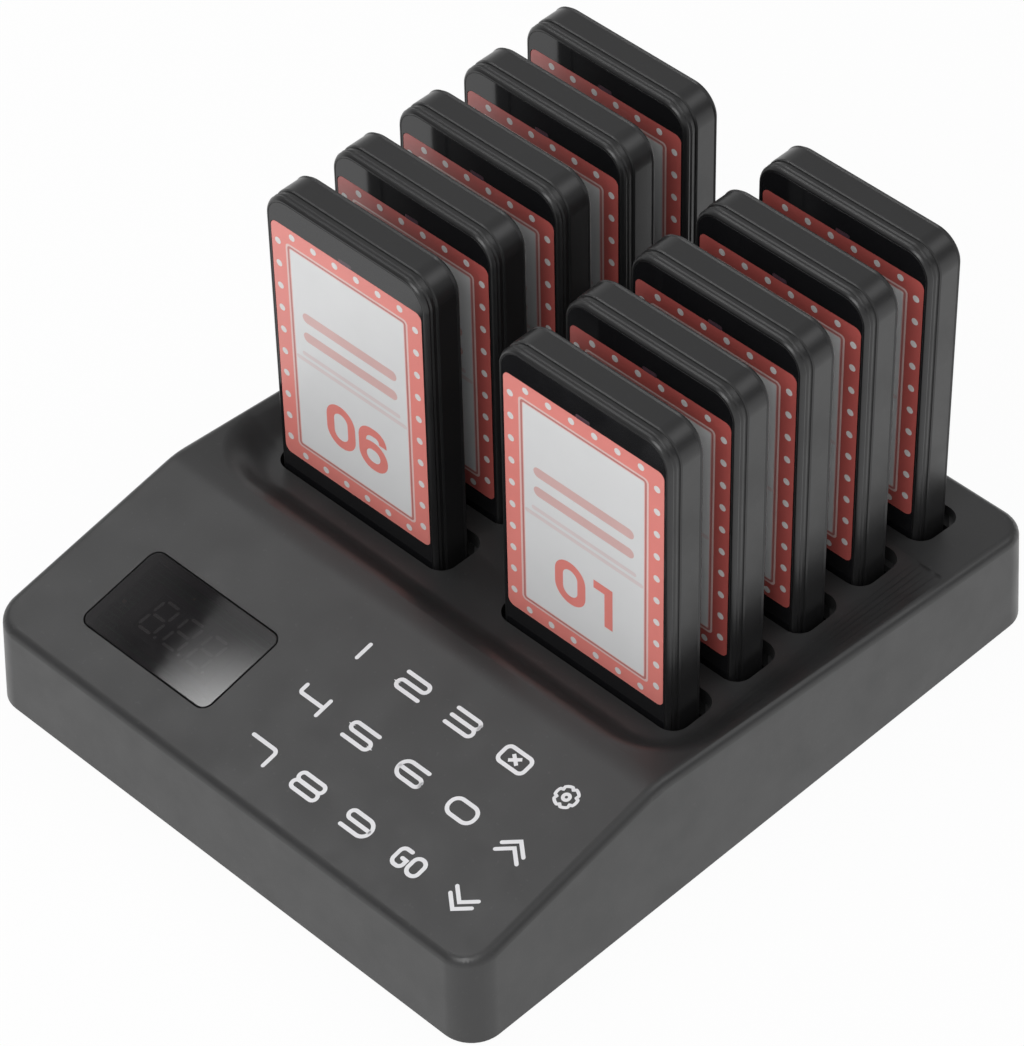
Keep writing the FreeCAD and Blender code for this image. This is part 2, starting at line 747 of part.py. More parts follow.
SCREW_SEAT = "(foot_proud + head_height + head_gap)"
FOOT_SIDE, FOOT_END = "(base_width / 2 - foot_side_inset)", "(base_depth / 2 - foot_end_inset)"
FOOT_PLACES = [(f"{'l' if side else 'r'}{'f' if end else 'b'}", f"{side}{FOOT_SIDE}", f"{end}{FOOT_END}")
               for side in ("-", "") for end in ("-", "")]


def post_places():
    """The four posts that carry the charge board."""
    for side in ("-", ""):
        x = f"{side}({CHARGE_WIDTH} / 2 - post_in)"
        yield f"{'l' if side else 'r'}f", x, "-charge_ahead + post_in"
        yield f"{'l' if side else 'r'}b", x, f"{CHARGE_END} - post_in"


def bottom_cover():
    outline = cut_rectangle(f"base_width - 2 * {PLATE_INSET}", f"base_depth - 2 * {PLATE_INSET}",
                            f"corner_radius - {PLATE_INSET}")
    solids, holes = [place(plate("bottom_plate", outline, "bottom_thickness"), z="foot_proud")], []
    for letter, x in TONGUE_PLACES:
        solids.append(box(f"tongue_{letter}", "tongue_width", "2 * tongue_reach", "tongue_thickness",
                          f"{x} - tongue_width / 2", f"-{TONGUE_TIP}", f"{BOTTOM_TOP} - tongue_thickness"))
    for letters, x, y in post_places():
        solids.append(centred_box(f"post_{letters}", "post_side", "post_side", f"charge_height - {BOTTOM_TOP}", x, y,
                                  BOTTOM_TOP))
        solids.append(centred_box(f"peg_{letters}", "peg_side", "peg_side", "2 * charge_thickness", x, y,
                                  "charge_height"))
    for letter, x, y in SCREW_PLACES:
        holes.append(cylinder(f"screw_hole_{letter}", "screw_hole_radius", "2 * bottom_thickness", x, y, "foot_proud"))
        holes.append(centred_box(f"head_recess_{letter}", "2 * (head_across + head_gap)", "2 * (head_across + head_gap)",
                                 SCREW_SEAT, x, y, "0"))
    for letters, x, y in FOOT_PLACES:
        holes.append(centred_box(f"foot_recess_{letters}", "foot_side + 2 * foot_gap", "foot_side + 2 * foot_gap",
                                 "foot_proud + foot_recess", x, y, "0"))
    for number in range(int(size("sound_slots"))):
        shift = f"({number} - (sound_slots - 1) / 2) * sound_pitch"
        holes.append(centred_box(f"sound_slot_{number}", "sound_length", "sound_width", "2 * bottom_thickness",
                                 "beeper_right", f"{BOARD_MIDDLE} - base_depth / 2 + {shift}", "foot_proud / 2"))
    return cut("bottom_cover", fuse("bottom_solid", *solids), *holes)


def rubber_feet():
    """Square feet, a little narrower where they stand."""
    master = doc.addObject("Part::Wedge", "foot")
    master.Placement = Placement(Vector(), Rotation(X_AXIS, 90))
    half, low = "foot_side / 2", "(foot_side / 2 - foot_taper)"
    bind(master, Xmin=f"-{low}", Xmax=low, Zmin=f"-{low}", Zmax=low, X2min=f"-{half}", X2max=half, Z2min=f"-{half}",
         Z2max=half, Ymin="0", Ymax="foot_proud + foot_recess")
    upright = group("foot_upright", master)
    return group("rubber_feet", *[copy_of(f"foot_{letters}", upright, x, y) for letters, x, y in FOOT_PLACES])


def cover_screws():
    """Screws that point up, each drawn from the underside of its six sided head."""
    head = doc.addObject("Part::Prism", "screw_head")
    bind(head, Circumradius="head_across", Height="head_height")
    place(head, z="-head_height")
    shank = cylinder("screw_shank", "screw_radius", f"{BOTTOM_TOP} - {SCREW_SEAT} + screw_length - head_gap", "0", "0",
                     "0")
    master = fuse("screw", head, shank)
    return group("cover_screws", *[copy_of(f"screw_{letter}", master, x, y, SCREW_SEAT)
                                   for letter, x, y in SCREW_PLACES])


def charge_board():
    """Board under all ten slots, with the ribbon's socket near its front edge."""
    plain = box("charge_plain", CHARGE_WIDTH, f"charge_ahead + {CHARGE_END}", "charge_thickness",
                f"-{CHARGE_WIDTH} / 2", "-charge_ahead", "charge_height")
    holes = [centred_box(f"peg_hole_{letters}", "peg_side + 2 * peg_gap", "peg_side + 2 * peg_gap",
                         "charge_thickness", x, y, "charge_height") for letters, x, y in post_places()]
    socket = centred_box("charge_socket", "socket_width", "socket_depth", "socket_height", "0",
                         "-charge_ahead + socket_in", CHARGE_TOP)
    return group("charge_board", cut("charge_drilled", plain, *holes), socket)


def contact_springs():
    """Two bent leaves under each pager: foot on the board, crest just under the pager's contact."""
    body = new_body("leaf")
    outline = new_sketch(body, "leaf_outline", "YZ_Plane")
    foot = f"({PAD_MIDDLE} - contact_crest / 2 - contact_reach - contact_foot)"
    bend, top = f"({foot} + contact_foot)", f"({foot} + contact_foot + contact_reach)"
    tip, high = f"({top} + contact_crest)", "(seat_height - contact_gap)"
    polygon(outline, [
        (foot, CHARGE_TOP),
        (f"{bend} + contact_strip / 2", CHARGE_TOP),
        (f"{top} + contact_strip / 2", f"{high} - contact_strip"),
        (tip, f"{high} - contact_strip"),
        (tip, high),
        (f"{top} - contact_strip / 2", high),
        (f"{bend} - contact_strip / 2", f"{CHARGE_TOP} + contact_strip"),
        (foot, f"{CHARGE_TOP} + contact_strip"),
    ])
    pad(body, outline, "leaf_strip", "contact_width", midplane=True)
    pair = group("leaf_pair", *[copy_of(f"leaf_{side or '+'}", body, f"{side}pad_spacing / 2") for side in ("-", "")])
    return group("contact_springs", *in_slots("leaves", pair))


def panel_point(v, n):
    """The same place as on_panel, worked out."""
    run, rise = size("base_depth") / 2 - size("crease_ahead"), size("crease_height") - size("front_height")
    tilt = math.atan(rise / run)
    y = -size("base_depth") / 2 + v * math.cos(tilt) - n * math.sin(tilt)
    return Vector(0, y, size("front_height") + v * math.sin(tilt) + n * math.cos(tilt))


def board_ribbon():
    """Flat cable from the main board's socket to the charge board's, square to both."""
    run, rise = size("base_depth") / 2 - size("crease_ahead"), size("crease_height") - size("front_height")
    v = math.hypot(run, rise) - size("board_back") - size("socket_in")
    under = -size("board_below") - size("board_thickness") - size("socket_height")
    level = size("charge_height") + size("charge_thickness") + size("socket_height") / 2
    end = -size("charge_ahead") + size("socket_in") - size("socket_depth") / 2
    leave, turn = panel_point(v, under), panel_point(v, under - size("ribbon_drop"))
    path = [leave, turn, Vector(0, end - size("ribbon_run"), level), Vector(0, end, level)]
    half = size("ribbon_thickness") / 2
    above, below = [], []
    for i, point in enumerate(path):
        before = (point - path[max(i - 1, 0)]) if i else path[1] - point
        after = (path[i + 1] - point) if i + 1 < len(path) else before
        before, after = before.normalize(), Vector(after).normalize()
        along = (before + after).normalize()
        across = Vector(0, -along.z, along.y) * (half / along.dot(before))
        above.append(point + across)
        below.append(point - across)
    outline = Part.makePolygon(above + below[::-1] + above[:1])
    outline.translate(X_AXIS * (-size("ribbon_width") / 2))
    return computed("board_ribbon", Part.Face(outline).extrude(X_AXIS * size("ribbon_width")))


def dc_jack():
    """Barrel inlet on the charge board, behind a round hole in the back wall."""
    block = centred_box("jack_block", "jack_width", "jack_length", "jack_height", "0",
                        f"{JACK_BACK} - jack_length / 2", CHARGE_TOP)
    bore = cylinder("jack_bore", "jack_bore_radius", "jack_bore_depth", "0", JACK_BACK, JACK_AXIS, "90")
    pin = cylinder("jack_pin", "jack_pin_radius", "jack_pin_length", "0",
                   f"{JACK_BACK} - jack_bore_depth + jack_pin_length", JACK_AXIS, "90")
    return fuse("dc_jack", cut("jack_shell", block, bore), pin)


def power_switch():
    block = centred_box("switch_block", "switch_width", "switch_depth", "switch_height", "-switch_left",
                        f"{SWITCH_BACK} - switch_depth / 2", CHARGE_TOP)
    track = centred_box("switch_track", SLIDE_WIDTH, "2 * slider_root", SLIDE_HEIGHT, "-switch_left", SWITCH_BACK,
                        f"{SWITCH_AXIS} - {SLIDE_HEIGHT} / 2")
    return cut("power_switch", block, track)


def switch_slider():
    """Slider at the left end of its travel, with its end just inside the wall's face."""
    root = f"({SWITCH_BACK} - slider_root + slider_gap)"
    tip = f"(base_depth / 2 - slider_inset - ({SWITCH_AXIS} + slider_height / 2 - foot_proud) * tan(wall_draft))"
    return box("switch_slider", "slider_width", f"{tip} - {root}", "slider_height",
               "-switch_left - switch_travel / 2 - slider_width / 2", root, f"{SWITCH_AXIS} - slider_height / 2")


# Pager, drawn standing at the origin: front face at y = 0, bottom at z = 0

PAGER_MIDDLE = "pager_height / 2"
PAGER_OUTLINE = (cut_rectangle("pager_width", "pager_height", "pager_radius", "0", PAGER_MIDDLE)[:4]
                 + rectangle_corners("pager_width", "pager_height", "0", PAGER_MIDDLE)[2:])
PARTING_BACK = "(front_case_depth + parting_gap)"
INSIDE_BACK = "(pager_thickness - back_wall)"
BOARD_BACK = "(front_case_depth + pager_board_thickness)"


def pager_form(name, thickness, level):
    """A slab of the pager: round corners above, and cut ones below that lead it into its slot."""
    body = plate(name, PAGER_OUTLINE, thickness, level)
    top = size("pager_height") - size("pager_edge")
    uprights = edge_names(body.Tip, lambda edge: runs_along(edge, Z_AXIS) and edge.CenterOfMass.y > top)
    dress(body, "Fillet", f"{name}_corners", body.Tip, uprights, Radius="pager_radius")
    return body


def pager_front_case():
    """Front case with its glossy face, a chamfer round it and a shallow seat for the printed card."""
    body = pager_form("front_case_form", "front_case_depth", "-front_case_depth")
    face = next(face for face in body.Tip.Shape.Faces if face_normal(face).z > STRAIGHT_SHARE)
    rim = edge_names(body.Tip, lambda edge: any(edge.isSame(other) for other in face.Edges))
    dress(body, "Chamfer", "front_case_edge", body.Tip, rim, Size="pager_edge")
    place(body, tilt="90")
    seat = plate("card_seat", cut_rectangle("card_width", "card_height", "card_radius"), "2 * card_thickness",
                 "-card_thickness")
    place(seat, z="card_above_bottom + card_height / 2", tilt="90")
    return cut("front_case", body, seat)


def pager_card():
    outline = cut_rectangle("card_width - 2 * card_gap", "card_height - 2 * card_gap", "card_radius")
    card = plate("card_plate", outline, "card_thickness", "-card_thickness")
    return group("card", place(card, z="card_above_bottom + card_height / 2", tilt="90"))


def pager_rear_case():
    """Deep tray with a lip that meets the front case across the parting groove."""
    body = pager_form("rear_case_form", f"pager_thickness - {PARTING_BACK}", "-pager_thickness")
    lip = new_sketch(body, "lip_outline", "XY_Plane", f"-{PARTING_BACK}")
    polygon(lip, cut_rectangle("pager_width - 2 * parting_depth", "pager_height - 2 * parting_depth",
                               "pager_radius - parting_depth", "0", PAGER_MIDDLE))
    pad(body, lip, "lip", "parting_gap")
    inside = new_sketch(body, "inside_outline", "XY_Plane", "-front_case_depth")
    polygon(inside, cut_rectangle("pager_width - 2 * case_wall", "pager_height - 2 * case_wall",
                                  "pager_radius - case_wall", "0", PAGER_MIDDLE))
    pocket(body, inside, "inside", f"{INSIDE_BACK} - front_case_depth")
    place(body, tilt="90")
    openings = [centred_box(f"pad_window_{side or '+'}", "pad_width + 2 * pad_gap", "pad_depth + 2 * pad_gap",
                            "2 * case_wall", f"{side}pad_spacing / 2", PAD_MIDDLE, "-case_wall / 2")
                for side in ("-", "")]
    return cut("rear_case", body, *openings)


def pager_board():
    """Board against the front case, with its cell, vibration motor and two charging contacts."""
    board = box("pager_board_plate", "pager_width - 2 * pager_board_side", "pager_board_thickness",
                "pager_height - 2 * pager_board_end", "pager_board_side - pager_width / 2", "front_case_depth",
                "pager_board_end")
    cell = box("pager_cell", "cell_width", f"{INSIDE_BACK} - cell_gap - {BOARD_BACK}", "cell_height",
               "-cell_width / 2", BOARD_BACK, f"{PAGER_MIDDLE} + cell_above_centre - cell_height / 2")
    motor = box("pager_motor", "motor_side", "motor_thickness", "motor_side", "-motor_side / 2", BOARD_BACK,
                f"{PAGER_MIDDLE} - motor_below_centre - motor_side / 2")
    pads = [centred_box(f"charge_pad_{side or '+'}", "pad_width", "pad_depth", "pad_height",
                        f"{side}pad_spacing / 2", PAD_MIDDLE, "0") for side in ("-", "")]
    return group("board", board, cell, motor, *pads)


# Making every node

def base_nodes():
    makers = (top_cover, bottom_cover, display_window, display_module, main_board, touch_pads, radio_module, antenna,
              beeper, cover_screws, rubber_feet, charge_board, contact_springs, board_ribbon, dc_jack, power_switch,
              switch_slider)
    for maker in makers:
        node = maker()
        node.Label = maker.__name__
        yield node


def pager_nodes():
    """Ten pagers, four nodes each, as copies of one pager in its slots."""
    masters = (pager_front_case(), pager_card(), pager_rear_case(), pager_board())
    for piece in masters:
        for number, copy in enumerate(in_slots(piece.Name, piece), start=1):
            copy.Label = f"pager_{number:02d}_{piece.Name}"
            yield bind(copy, Placement__Base__z="seat_height")


def check_and_write(nodes):
    """Stops on any failed object, then writes each node's solids to its own file."""
    for thing in doc.Objects:
        bad = [state for state in thing.State if state in ("Invalid", "Error")]
        if bad:
            raise RuntimeError(f"{thing.Name} is {bad[0]}")
    os.makedirs("parts", exist_ok=True)
    for node in nodes:
        shape = Part.getShape(node)
        if shape.isNull() or not shape.isValid() or not shape.Solids:
            raise RuntimeError(f"{node.Label} has no valid solid")
        shape.exportStep(f"parts/{node.Label}.step")
        print(f"{node.Label}: {len(shape.Solids)} solids, {shape.Volume:.1f} cubic mm")


all_nodes = list(base_nodes()) + list(pager_nodes())
doc.recompute()
check_and_write(all_nodes)
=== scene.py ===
"""Looks of the guest pager system: charging base, ten pagers, materials, studio and camera.

Lengths in the tables are millimetres in the row frame and become metres in the mesh functions.
"""
import bpy
import bmesh
import json
import math
from mathutils import Matrix, Vector

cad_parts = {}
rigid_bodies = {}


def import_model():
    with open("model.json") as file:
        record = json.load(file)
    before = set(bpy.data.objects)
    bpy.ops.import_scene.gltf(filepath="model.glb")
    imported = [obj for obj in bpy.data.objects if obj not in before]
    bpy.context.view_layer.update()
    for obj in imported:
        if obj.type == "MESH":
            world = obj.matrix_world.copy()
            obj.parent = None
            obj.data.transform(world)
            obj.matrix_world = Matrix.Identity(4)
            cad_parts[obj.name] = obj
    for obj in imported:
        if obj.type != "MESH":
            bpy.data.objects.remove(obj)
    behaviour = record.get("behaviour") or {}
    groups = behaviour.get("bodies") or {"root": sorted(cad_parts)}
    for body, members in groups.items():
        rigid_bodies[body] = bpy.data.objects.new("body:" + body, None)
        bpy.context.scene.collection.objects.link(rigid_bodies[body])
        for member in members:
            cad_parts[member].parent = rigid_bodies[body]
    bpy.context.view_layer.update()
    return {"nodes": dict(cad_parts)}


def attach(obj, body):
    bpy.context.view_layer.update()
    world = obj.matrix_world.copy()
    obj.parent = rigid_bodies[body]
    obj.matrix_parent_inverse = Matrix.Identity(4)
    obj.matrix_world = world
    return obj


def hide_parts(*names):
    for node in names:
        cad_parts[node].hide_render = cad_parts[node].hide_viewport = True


MM = 0.001

for leftover in list(bpy.data.objects):
    bpy.data.objects.remove(leftover)

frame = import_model()
nodes = frame["nodes"]


# Sizes of the part, in millimetres

PANEL_FRONT_Y, PANEL_FRONT_Z = -95.0, 26.1
CREASE_Y, CREASE_Z = -34.7, 38.85
PANEL_TILT = math.atan2(CREASE_Z - PANEL_FRONT_Z, CREASE_Y - PANEL_FRONT_Y)
COLUMN_X = 37.0
FIRST_FACE_Y, ROW_PITCH = -14.5, 21.1
PAGER_WIDTH, PAGER_DEPTH, PAGER_RADIUS = 52.7, 10.7, 7.5
PAGER_LOW, PAGER_HIGH = 14.0, 117.2
CARD_WIDTH, CARD_LOW, CARD_HIGH, CARD_RADIUS = 48.5, 36.5, 108.8, 1.9
WINDOW_X, WINDOW_V, WINDOW_WIDTH, WINDOW_HEIGHT, WINDOW_RADIUS = -39.3, 26.2, 42.5, 25.7, 2.9
CARD_MIDDLE = (CARD_LOW + CARD_HIGH) / 2


# Materials

def new_material(name):
    material = bpy.data.materials.new(name)
    material.use_nodes = True
    tree = material.node_tree
    shader = tree.nodes["Principled BSDF"]
    return material, tree, shader


def socket_value(shader, **values):
    """Sets constant values on the shader's own sockets. An underscore stands for a space."""
    for key, value in values.items():
        shader.inputs[key.replace("_", " ")].default_value = value


def noise(tree, coords, scale, detail=3.0, roughness=0.5):
    node = tree.nodes.new("ShaderNodeTexNoise")
    node.inputs["Scale"].default_value = scale
    node.inputs["Detail"].default_value = detail
    node.inputs["Roughness"].default_value = roughness
    tree.links.new(coords, node.inputs["Vector"])
    return node.outputs["Fac"]


def remap(tree, value, low, high, from_low=0.3, from_high=0.7, interpolation="LINEAR"):
    node = tree.nodes.new("ShaderNodeMapRange")
    node.interpolation_type = interpolation
    node.inputs["From Min"].default_value = from_low
    node.inputs["From Max"].default_value = from_high
    node.inputs["To Min"].default_value = low
    node.inputs["To Max"].default_value = high
    tree.links.new(value, node.inputs["Value"])
    return node.outputs["Result"]


def mix_colors(tree, factor, first, second):
    node = tree.nodes.new("ShaderNodeMix")
    node.data_type = "RGBA"
    tree.links.new(factor, node.inputs["Factor"])
    for slot, color in ((6, first), (7, second)):
        if isinstance(color, tuple):
            node.inputs[slot].default_value = (*color, 1.0)
        else:
            tree.links.new(color, node.inputs[slot])
    return node.outputs[2]


def add_bump(tree, shader, height, distance, strength=1.0, under=None):
    node = tree.nodes.new("ShaderNodeBump")
    node.inputs["Strength"].default_value = strength
    node.inputs["Distance"].default_value = distance
    tree.links.new(height, node.inputs["Height"])
    if under is not None:
        tree.links.new(under, node.inputs["Normal"])
    tree.links.new(node.outputs["Normal"], shader.inputs["Normal"])
    return node.outputs["Normal"]


def object_coords(tree):
    return tree.nodes.new("ShaderNodeTexCoord").outputs["Object"]


def shades(color, vary):
    """The color a little darker, and a little lighter."""
    return tuple(c * (1.0 - vary) for c in color), tuple(min(c * (1.0 + vary), 1.0) for c in color)


def paler(color, times):
    return tuple(min(c * times + 0.01, 1.0) for c in color)


def moulded(name, color, rough, grain=1.0, vary=0.12, grain_scale=2600.0, ior=1.5):
    """Moulded plastic or rubber: cloudy tone, spark-eroded grain, polished patches and faint specks."""
    material, tree, shader = new_material(name)
    coords = object_coords(tree)
    clouds = noise(tree, coords, 38.0, 4.0, 0.55)
    tone = mix_colors(tree, remap(tree, clouds, 0.0, 1.0), *shades(color, vary))
    specks = noise(tree, coords, 900.0, 1.0, 0.4)
    dusty = mix_colors(tree, remap(tree, specks, 0.0, 0.35, 0.70, 0.78), tone, paler(color, 1.7))
    tree.links.new(dusty, shader.inputs["Base Color"])
    rubbed = noise(tree, coords, 95.0, 5.0, 0.6)
    tree.links.new(remap(tree, rubbed, max(rough - 0.05, 0.02), rough + 0.06), shader.inputs["Roughness"])
    fine = noise(tree, coords, grain_scale, 2.0, 0.6)
    first = add_bump(tree, shader, fine, 0.00003 * grain, 0.6)
    wavy = noise(tree, coords, 60.0, 2.0, 0.5)
    add_bump(tree, shader, wavy, 0.00006, 0.25, first)
    socket_value(shader, IOR=ior)
    return material


def polished(name, color, rough, alpha=1.0):
    """Glossy moulding with hairline marks and a little haze."""
    material, tree, shader = new_material(name)
    coords = object_coords(tree)
    clouds = noise(tree, coords, 30.0, 3.0, 0.5)
    tone = mix_colors(tree, remap(tree, clouds, 0.0, 1.0), *shades(color, 0.1))
    tree.links.new(tone, shader.inputs["Base Color"])
    haze = noise(tree, coords, 140.0, 5.0, 0.65)
    tree.links.new(remap(tree, haze, rough * 0.7, rough * 1.5), shader.inputs["Roughness"])
    wavy = noise(tree, coords, 45.0, 2.0, 0.5)
    add_bump(tree, shader, wavy, 0.00004, 0.15)
    socket_value(shader, IOR=1.5, Alpha=alpha)
    return material


def printed(name, color, rough, vary, ior=1.5):
    """Ink on plastic or paper: fine screen of the print, slight unevenness."""
    material, tree, shader = new_material(name)
    coords = object_coords(tree)
    clouds = noise(tree, coords, 70.0, 3.0, 0.5)
    tone = mix_colors(tree, remap(tree, clouds, 0.0, 1.0), *shades(color, vary))
    tree.links.new(tone, shader.inputs["Base Color"])
    fibre = noise(tree, coords, 5200.0, 2.0, 0.6)
    tree.links.new(remap(tree, fibre, rough * 0.85, rough * 1.2), shader.inputs["Roughness"])
    add_bump(tree, shader, fibre, 0.00001, 0.3)
    socket_value(shader, IOR=ior)
    return material


def brushed(name, color, rough):
    """Metal with lines of brushing or rolling and a spotty tone."""
    material, tree, shader = new_material(name)
    coords = object_coords(tree)
    stretch = tree.nodes.new("ShaderNodeMapping")
    stretch.inputs["Scale"].default_value = (1.0, 14.0, 14.0)
    tree.links.new(coords, stretch.inputs["Vector"])
    lines = noise(tree, stretch.outputs["Vector"], 420.0, 4.0, 0.6)
    clouds = noise(tree, coords, 120.0, 3.0, 0.5)
    dark = tuple(c * 0.82 for c in color)
    tree.links.new(mix_colors(tree, remap(tree, clouds, 0.0, 1.0), dark, color), shader.inputs["Base Color"])
    tree.links.new(remap(tree, lines, rough * 0.7, rough * 1.4), shader.inputs["Roughness"])
    add_bump(tree, shader, lines, 0.00001, 0.5)
    socket_value(shader, Metallic=1.0)
    return material


def circuit_board(name, mask, copper):
    """Solder mask over copper: traces show as paler ribbons, pads as small bright dots."""
    material, tree, shader = new_material(name)
    coords = object_coords(tree)
    bricks = tree.nodes.new("ShaderNodeTexBrick")
    bricks.inputs["Scale"].default_value = 260.0
    bricks.inputs["Mortar Size"].default_value = 0.06
    bricks.inputs["Mortar Smooth"].default_value = 0.2
    bricks.inputs["Brick Width"].default_value = 1.6
    bricks.inputs["Row Height"].default_value = 0.42
    bricks.inputs["Color1"].default_value = (0.0, 0.0, 0.0, 1.0)
    bricks.inputs["Color2"].default_value = (0.35, 0.35, 0.35, 1.0)
    bricks.inputs["Mortar"].default_value = (1.0, 1.0, 1.0, 1.0)
    tree.links.new(coords, bricks.inputs["Vector"])
    traces = mix_colors(tree, bricks.outputs["Fac"], mask, paler(mask, 1.9))
    cells = tree.nodes.new("ShaderNodeTexVoronoi")
    cells.inputs["Scale"].default_value = 190.0
    tree.links.new(coords, cells.inputs["Vector"])
    dots = remap(tree, cells.outputs["Distance"], 1.0, 0.0, 0.10, 0.13)
    tree.links.new(mix_colors(tree, dots, traces, copper), shader.inputs["Base Color"])
    grain = noise(tree, coords, 700.0, 3.0, 0.5)
    tree.links.new(remap(tree, grain, 0.26, 0.42), shader.inputs["Roughness"])
    add_bump(tree, shader, bricks.outputs["Fac"], 0.00003, 0.5)
    return material


HOUSING = moulded("housing_plastic", (0.027, 0.027, 0.0275), 0.38, grain=0.8, vary=0.05, ior=1.53)
# Plastic for inside the wells: its near-black colour, darker than the housing, is painted shade.
WELL_PAINTED_SHADE = moulded("well_painted_shade", (0.004, 0.004, 0.0042), 0.60, grain=0.8, vary=0.05, ior=1.30)
UNDERSIDE = moulded("underside_plastic", (0.03, 0.03, 0.032), 0.55, grain=1.5)
CASE = moulded("pager_satin", (0.012, 0.012, 0.0125), 0.32, grain=0.7, vary=0.1, ior=1.53)
FACE = polished("pager_gloss", (0.009, 0.009, 0.010), 0.09)
RUBBER = moulded("foot_rubber", (0.028, 0.028, 0.028), 0.8, grain=2.2, vary=0.2)
FOAM = moulded("pad_foam", (0.08, 0.08, 0.085), 0.85, grain=4.0, vary=0.25, grain_scale=1300.0)
COMPONENT = moulded("component_resin", (0.018, 0.018, 0.019), 0.42, grain=0.8)
CERAMIC = moulded("aerial_ceramic", (0.74, 0.71, 0.65), 0.5, grain=0.6, vary=0.06)
RIBBON = printed("ribbon_sheath", (0.66, 0.66, 0.64), 0.35, 0.08)
DISPLAY = moulded("display_block", (0.022, 0.020, 0.020), 0.42, grain=0.8)
SEGMENT = printed("segment_resin", (0.80, 0.76, 0.76), 0.45, 0.06)
INK = printed("panel_ink", (0.74, 0.74, 0.76), 0.42, 0.03)
# One coral ink in two copies. The paler one, on the front row, is painted light and haze. The darker one, on
# the rows behind, is painted shade from the pagers between them.
CORAL = printed("card_coral", (0.56, 0.112, 0.098), 0.42, 0.03, ior=1.8)
CORAL_PAINTED_LIT = printed("card_coral_painted_lit", (0.87, 0.262, 0.228), 0.42, 0.03, ior=1.8)
CORAL_LINE = printed("card_coral_line", (0.58, 0.200, 0.185), 0.40, 0.04, ior=1.75)
PALE = printed("card_pale_line", (0.84, 0.60, 0.57), 0.40, 0.03, ior=1.75)
PAPER = printed("card_paper", (0.81, 0.815, 0.82), 0.42, 0.015, ior=1.8)
DOT = printed("card_dot", (0.82, 0.79, 0.78), 0.40, 0.02, ior=1.75)
ROWS = printed("card_rows", (0.75, 0.49, 0.47), 0.40, 0.03, ior=1.75)
FINE_ROWS = printed("card_fine_rows", (0.78, 0.68, 0.68), 0.40, 0.03, ior=1.75)
LAMP = polished("lamp_lens", (0.075, 0.042, 0.055), 0.16)
STEEL = brushed("screw_steel", (0.56, 0.56, 0.55), 0.32)
SHIELD = brushed("shield_can", (0.60, 0.60, 0.60), 0.28)
CONTACT = brushed("spring_contact", (0.80, 0.62, 0.30), 0.26)
CIRCUIT = circuit_board("circuit_mask", (0.018, 0.105, 0.045), (0.72, 0.55, 0.28))


def smoked(name, alpha):
    """Smoked acrylic that lets the unlit digits show faintly."""
    return polished(name, (0.006, 0.005, 0.006), 0.034, alpha)


WINDOW = smoked("window_smoke", 0.86)
WINDOW_BACK = smoked("window_clear_back", 0.06)

FINISH = {
    "housing": HOUSING, "underside": UNDERSIDE, "window": WINDOW, "display": DISPLAY,
    "circuit": CIRCUIT, "foam": FOAM, "shield": SHIELD, "ceramic": CERAMIC, "component": COMPONENT,
    "steel": STEEL, "rubber": RUBBER, "contact": CONTACT, "ribbon": RIBBON, "pager_face": FACE,
    "pager_case": CASE, "card": CORAL,
}
for node in nodes.values():
    for place in node.material_slots:
        place.material = FINISH[place.material.name.split(".")[0]]


# Mesh helpers

def weigh_normals(mesh, sharp):
    """Corner normals from the faces that meet smoothly there, by area, so that flat faces stay flat."""
    limit = math.cos(math.radians(sharp))
    around = [[] for _ in mesh.vertices]
    for face in mesh.polygons:
        for corner in face.vertices:
            around[corner].append((face.normal.copy(), face.area))
    normals = []
    for face in mesh.polygons:
        for corner in face.vertices:
            total = Vector((0.0, 0.0, 0.0))
            for normal, area in around[corner]:
                if normal.dot(face.normal) > limit:
                    total += normal * area
            normals.append(total.normalized())
    mesh.normals_split_custom_set(normals)


def make_object(name, verts, faces, materials, face_materials=None, sharp=None):
    """A mesh object from millimetre points, smooth across edges below sharp degrees, flat without it."""
    mesh = bpy.data.meshes.new(name)
    mesh.from_pydata([(x * MM, y * MM, z * MM) for x, y, z in verts], [], faces)
    for material in materials:
        mesh.materials.append(material)
    if face_materials:
        mesh.polygons.foreach_set("material_index", face_materials)
    mesh.validate()
    if sharp:
        mesh.shade_smooth()
        weigh_normals(mesh, sharp)
    thing = bpy.data.objects.new(name, mesh)
    bpy.context.scene.collection.objects.link(thing)
    return thing


def twin(name, original, location):
    """A second object on the same mesh, at its own place in millimetres."""
    thing = bpy.data.objects.new(name, original.data)
    thing.location = Vector(location) * MM
    bpy.context.scene.collection.objects.link(thing)
    return thing


def rounded_loop(width, height, radius, steps):
    """Points of a rounded rectangle about the origin, each corner in that many steps."""
    points = []
    half_w, half_h = width / 2 - radius, height / 2 - radius
    for corner, (sx, sy) in enumerate(((1, -1), (1, 1), (-1, 1), (-1, -1))):
        start = math.radians(-90 + 90 * corner)
        for i in range(steps + 1):
            turn = start + math.radians(90) * i / steps
            points.append((sx * half_w + radius * math.cos(turn),
                           sy * half_h + radius * math.sin(turn)))
    return points


def skin(rings):
    """Quads between rings with equal counts, closed at both ends. Returns points and faces, caps last."""
    count = len(rings[0])
    verts = [point for ring in rings for point in ring]
    faces = []
    for k in range(len(rings) - 1):
        for i in range(count):
            j = (i + 1) % count
            faces.append((k * count + i, k * count + j, (k + 1) * count + j, (k + 1) * count + i))
    faces.append(tuple(reversed(range(count))))
    faces.append(tuple((len(rings) - 1) * count + i for i in range(count)))
    return verts, outward(verts, faces)


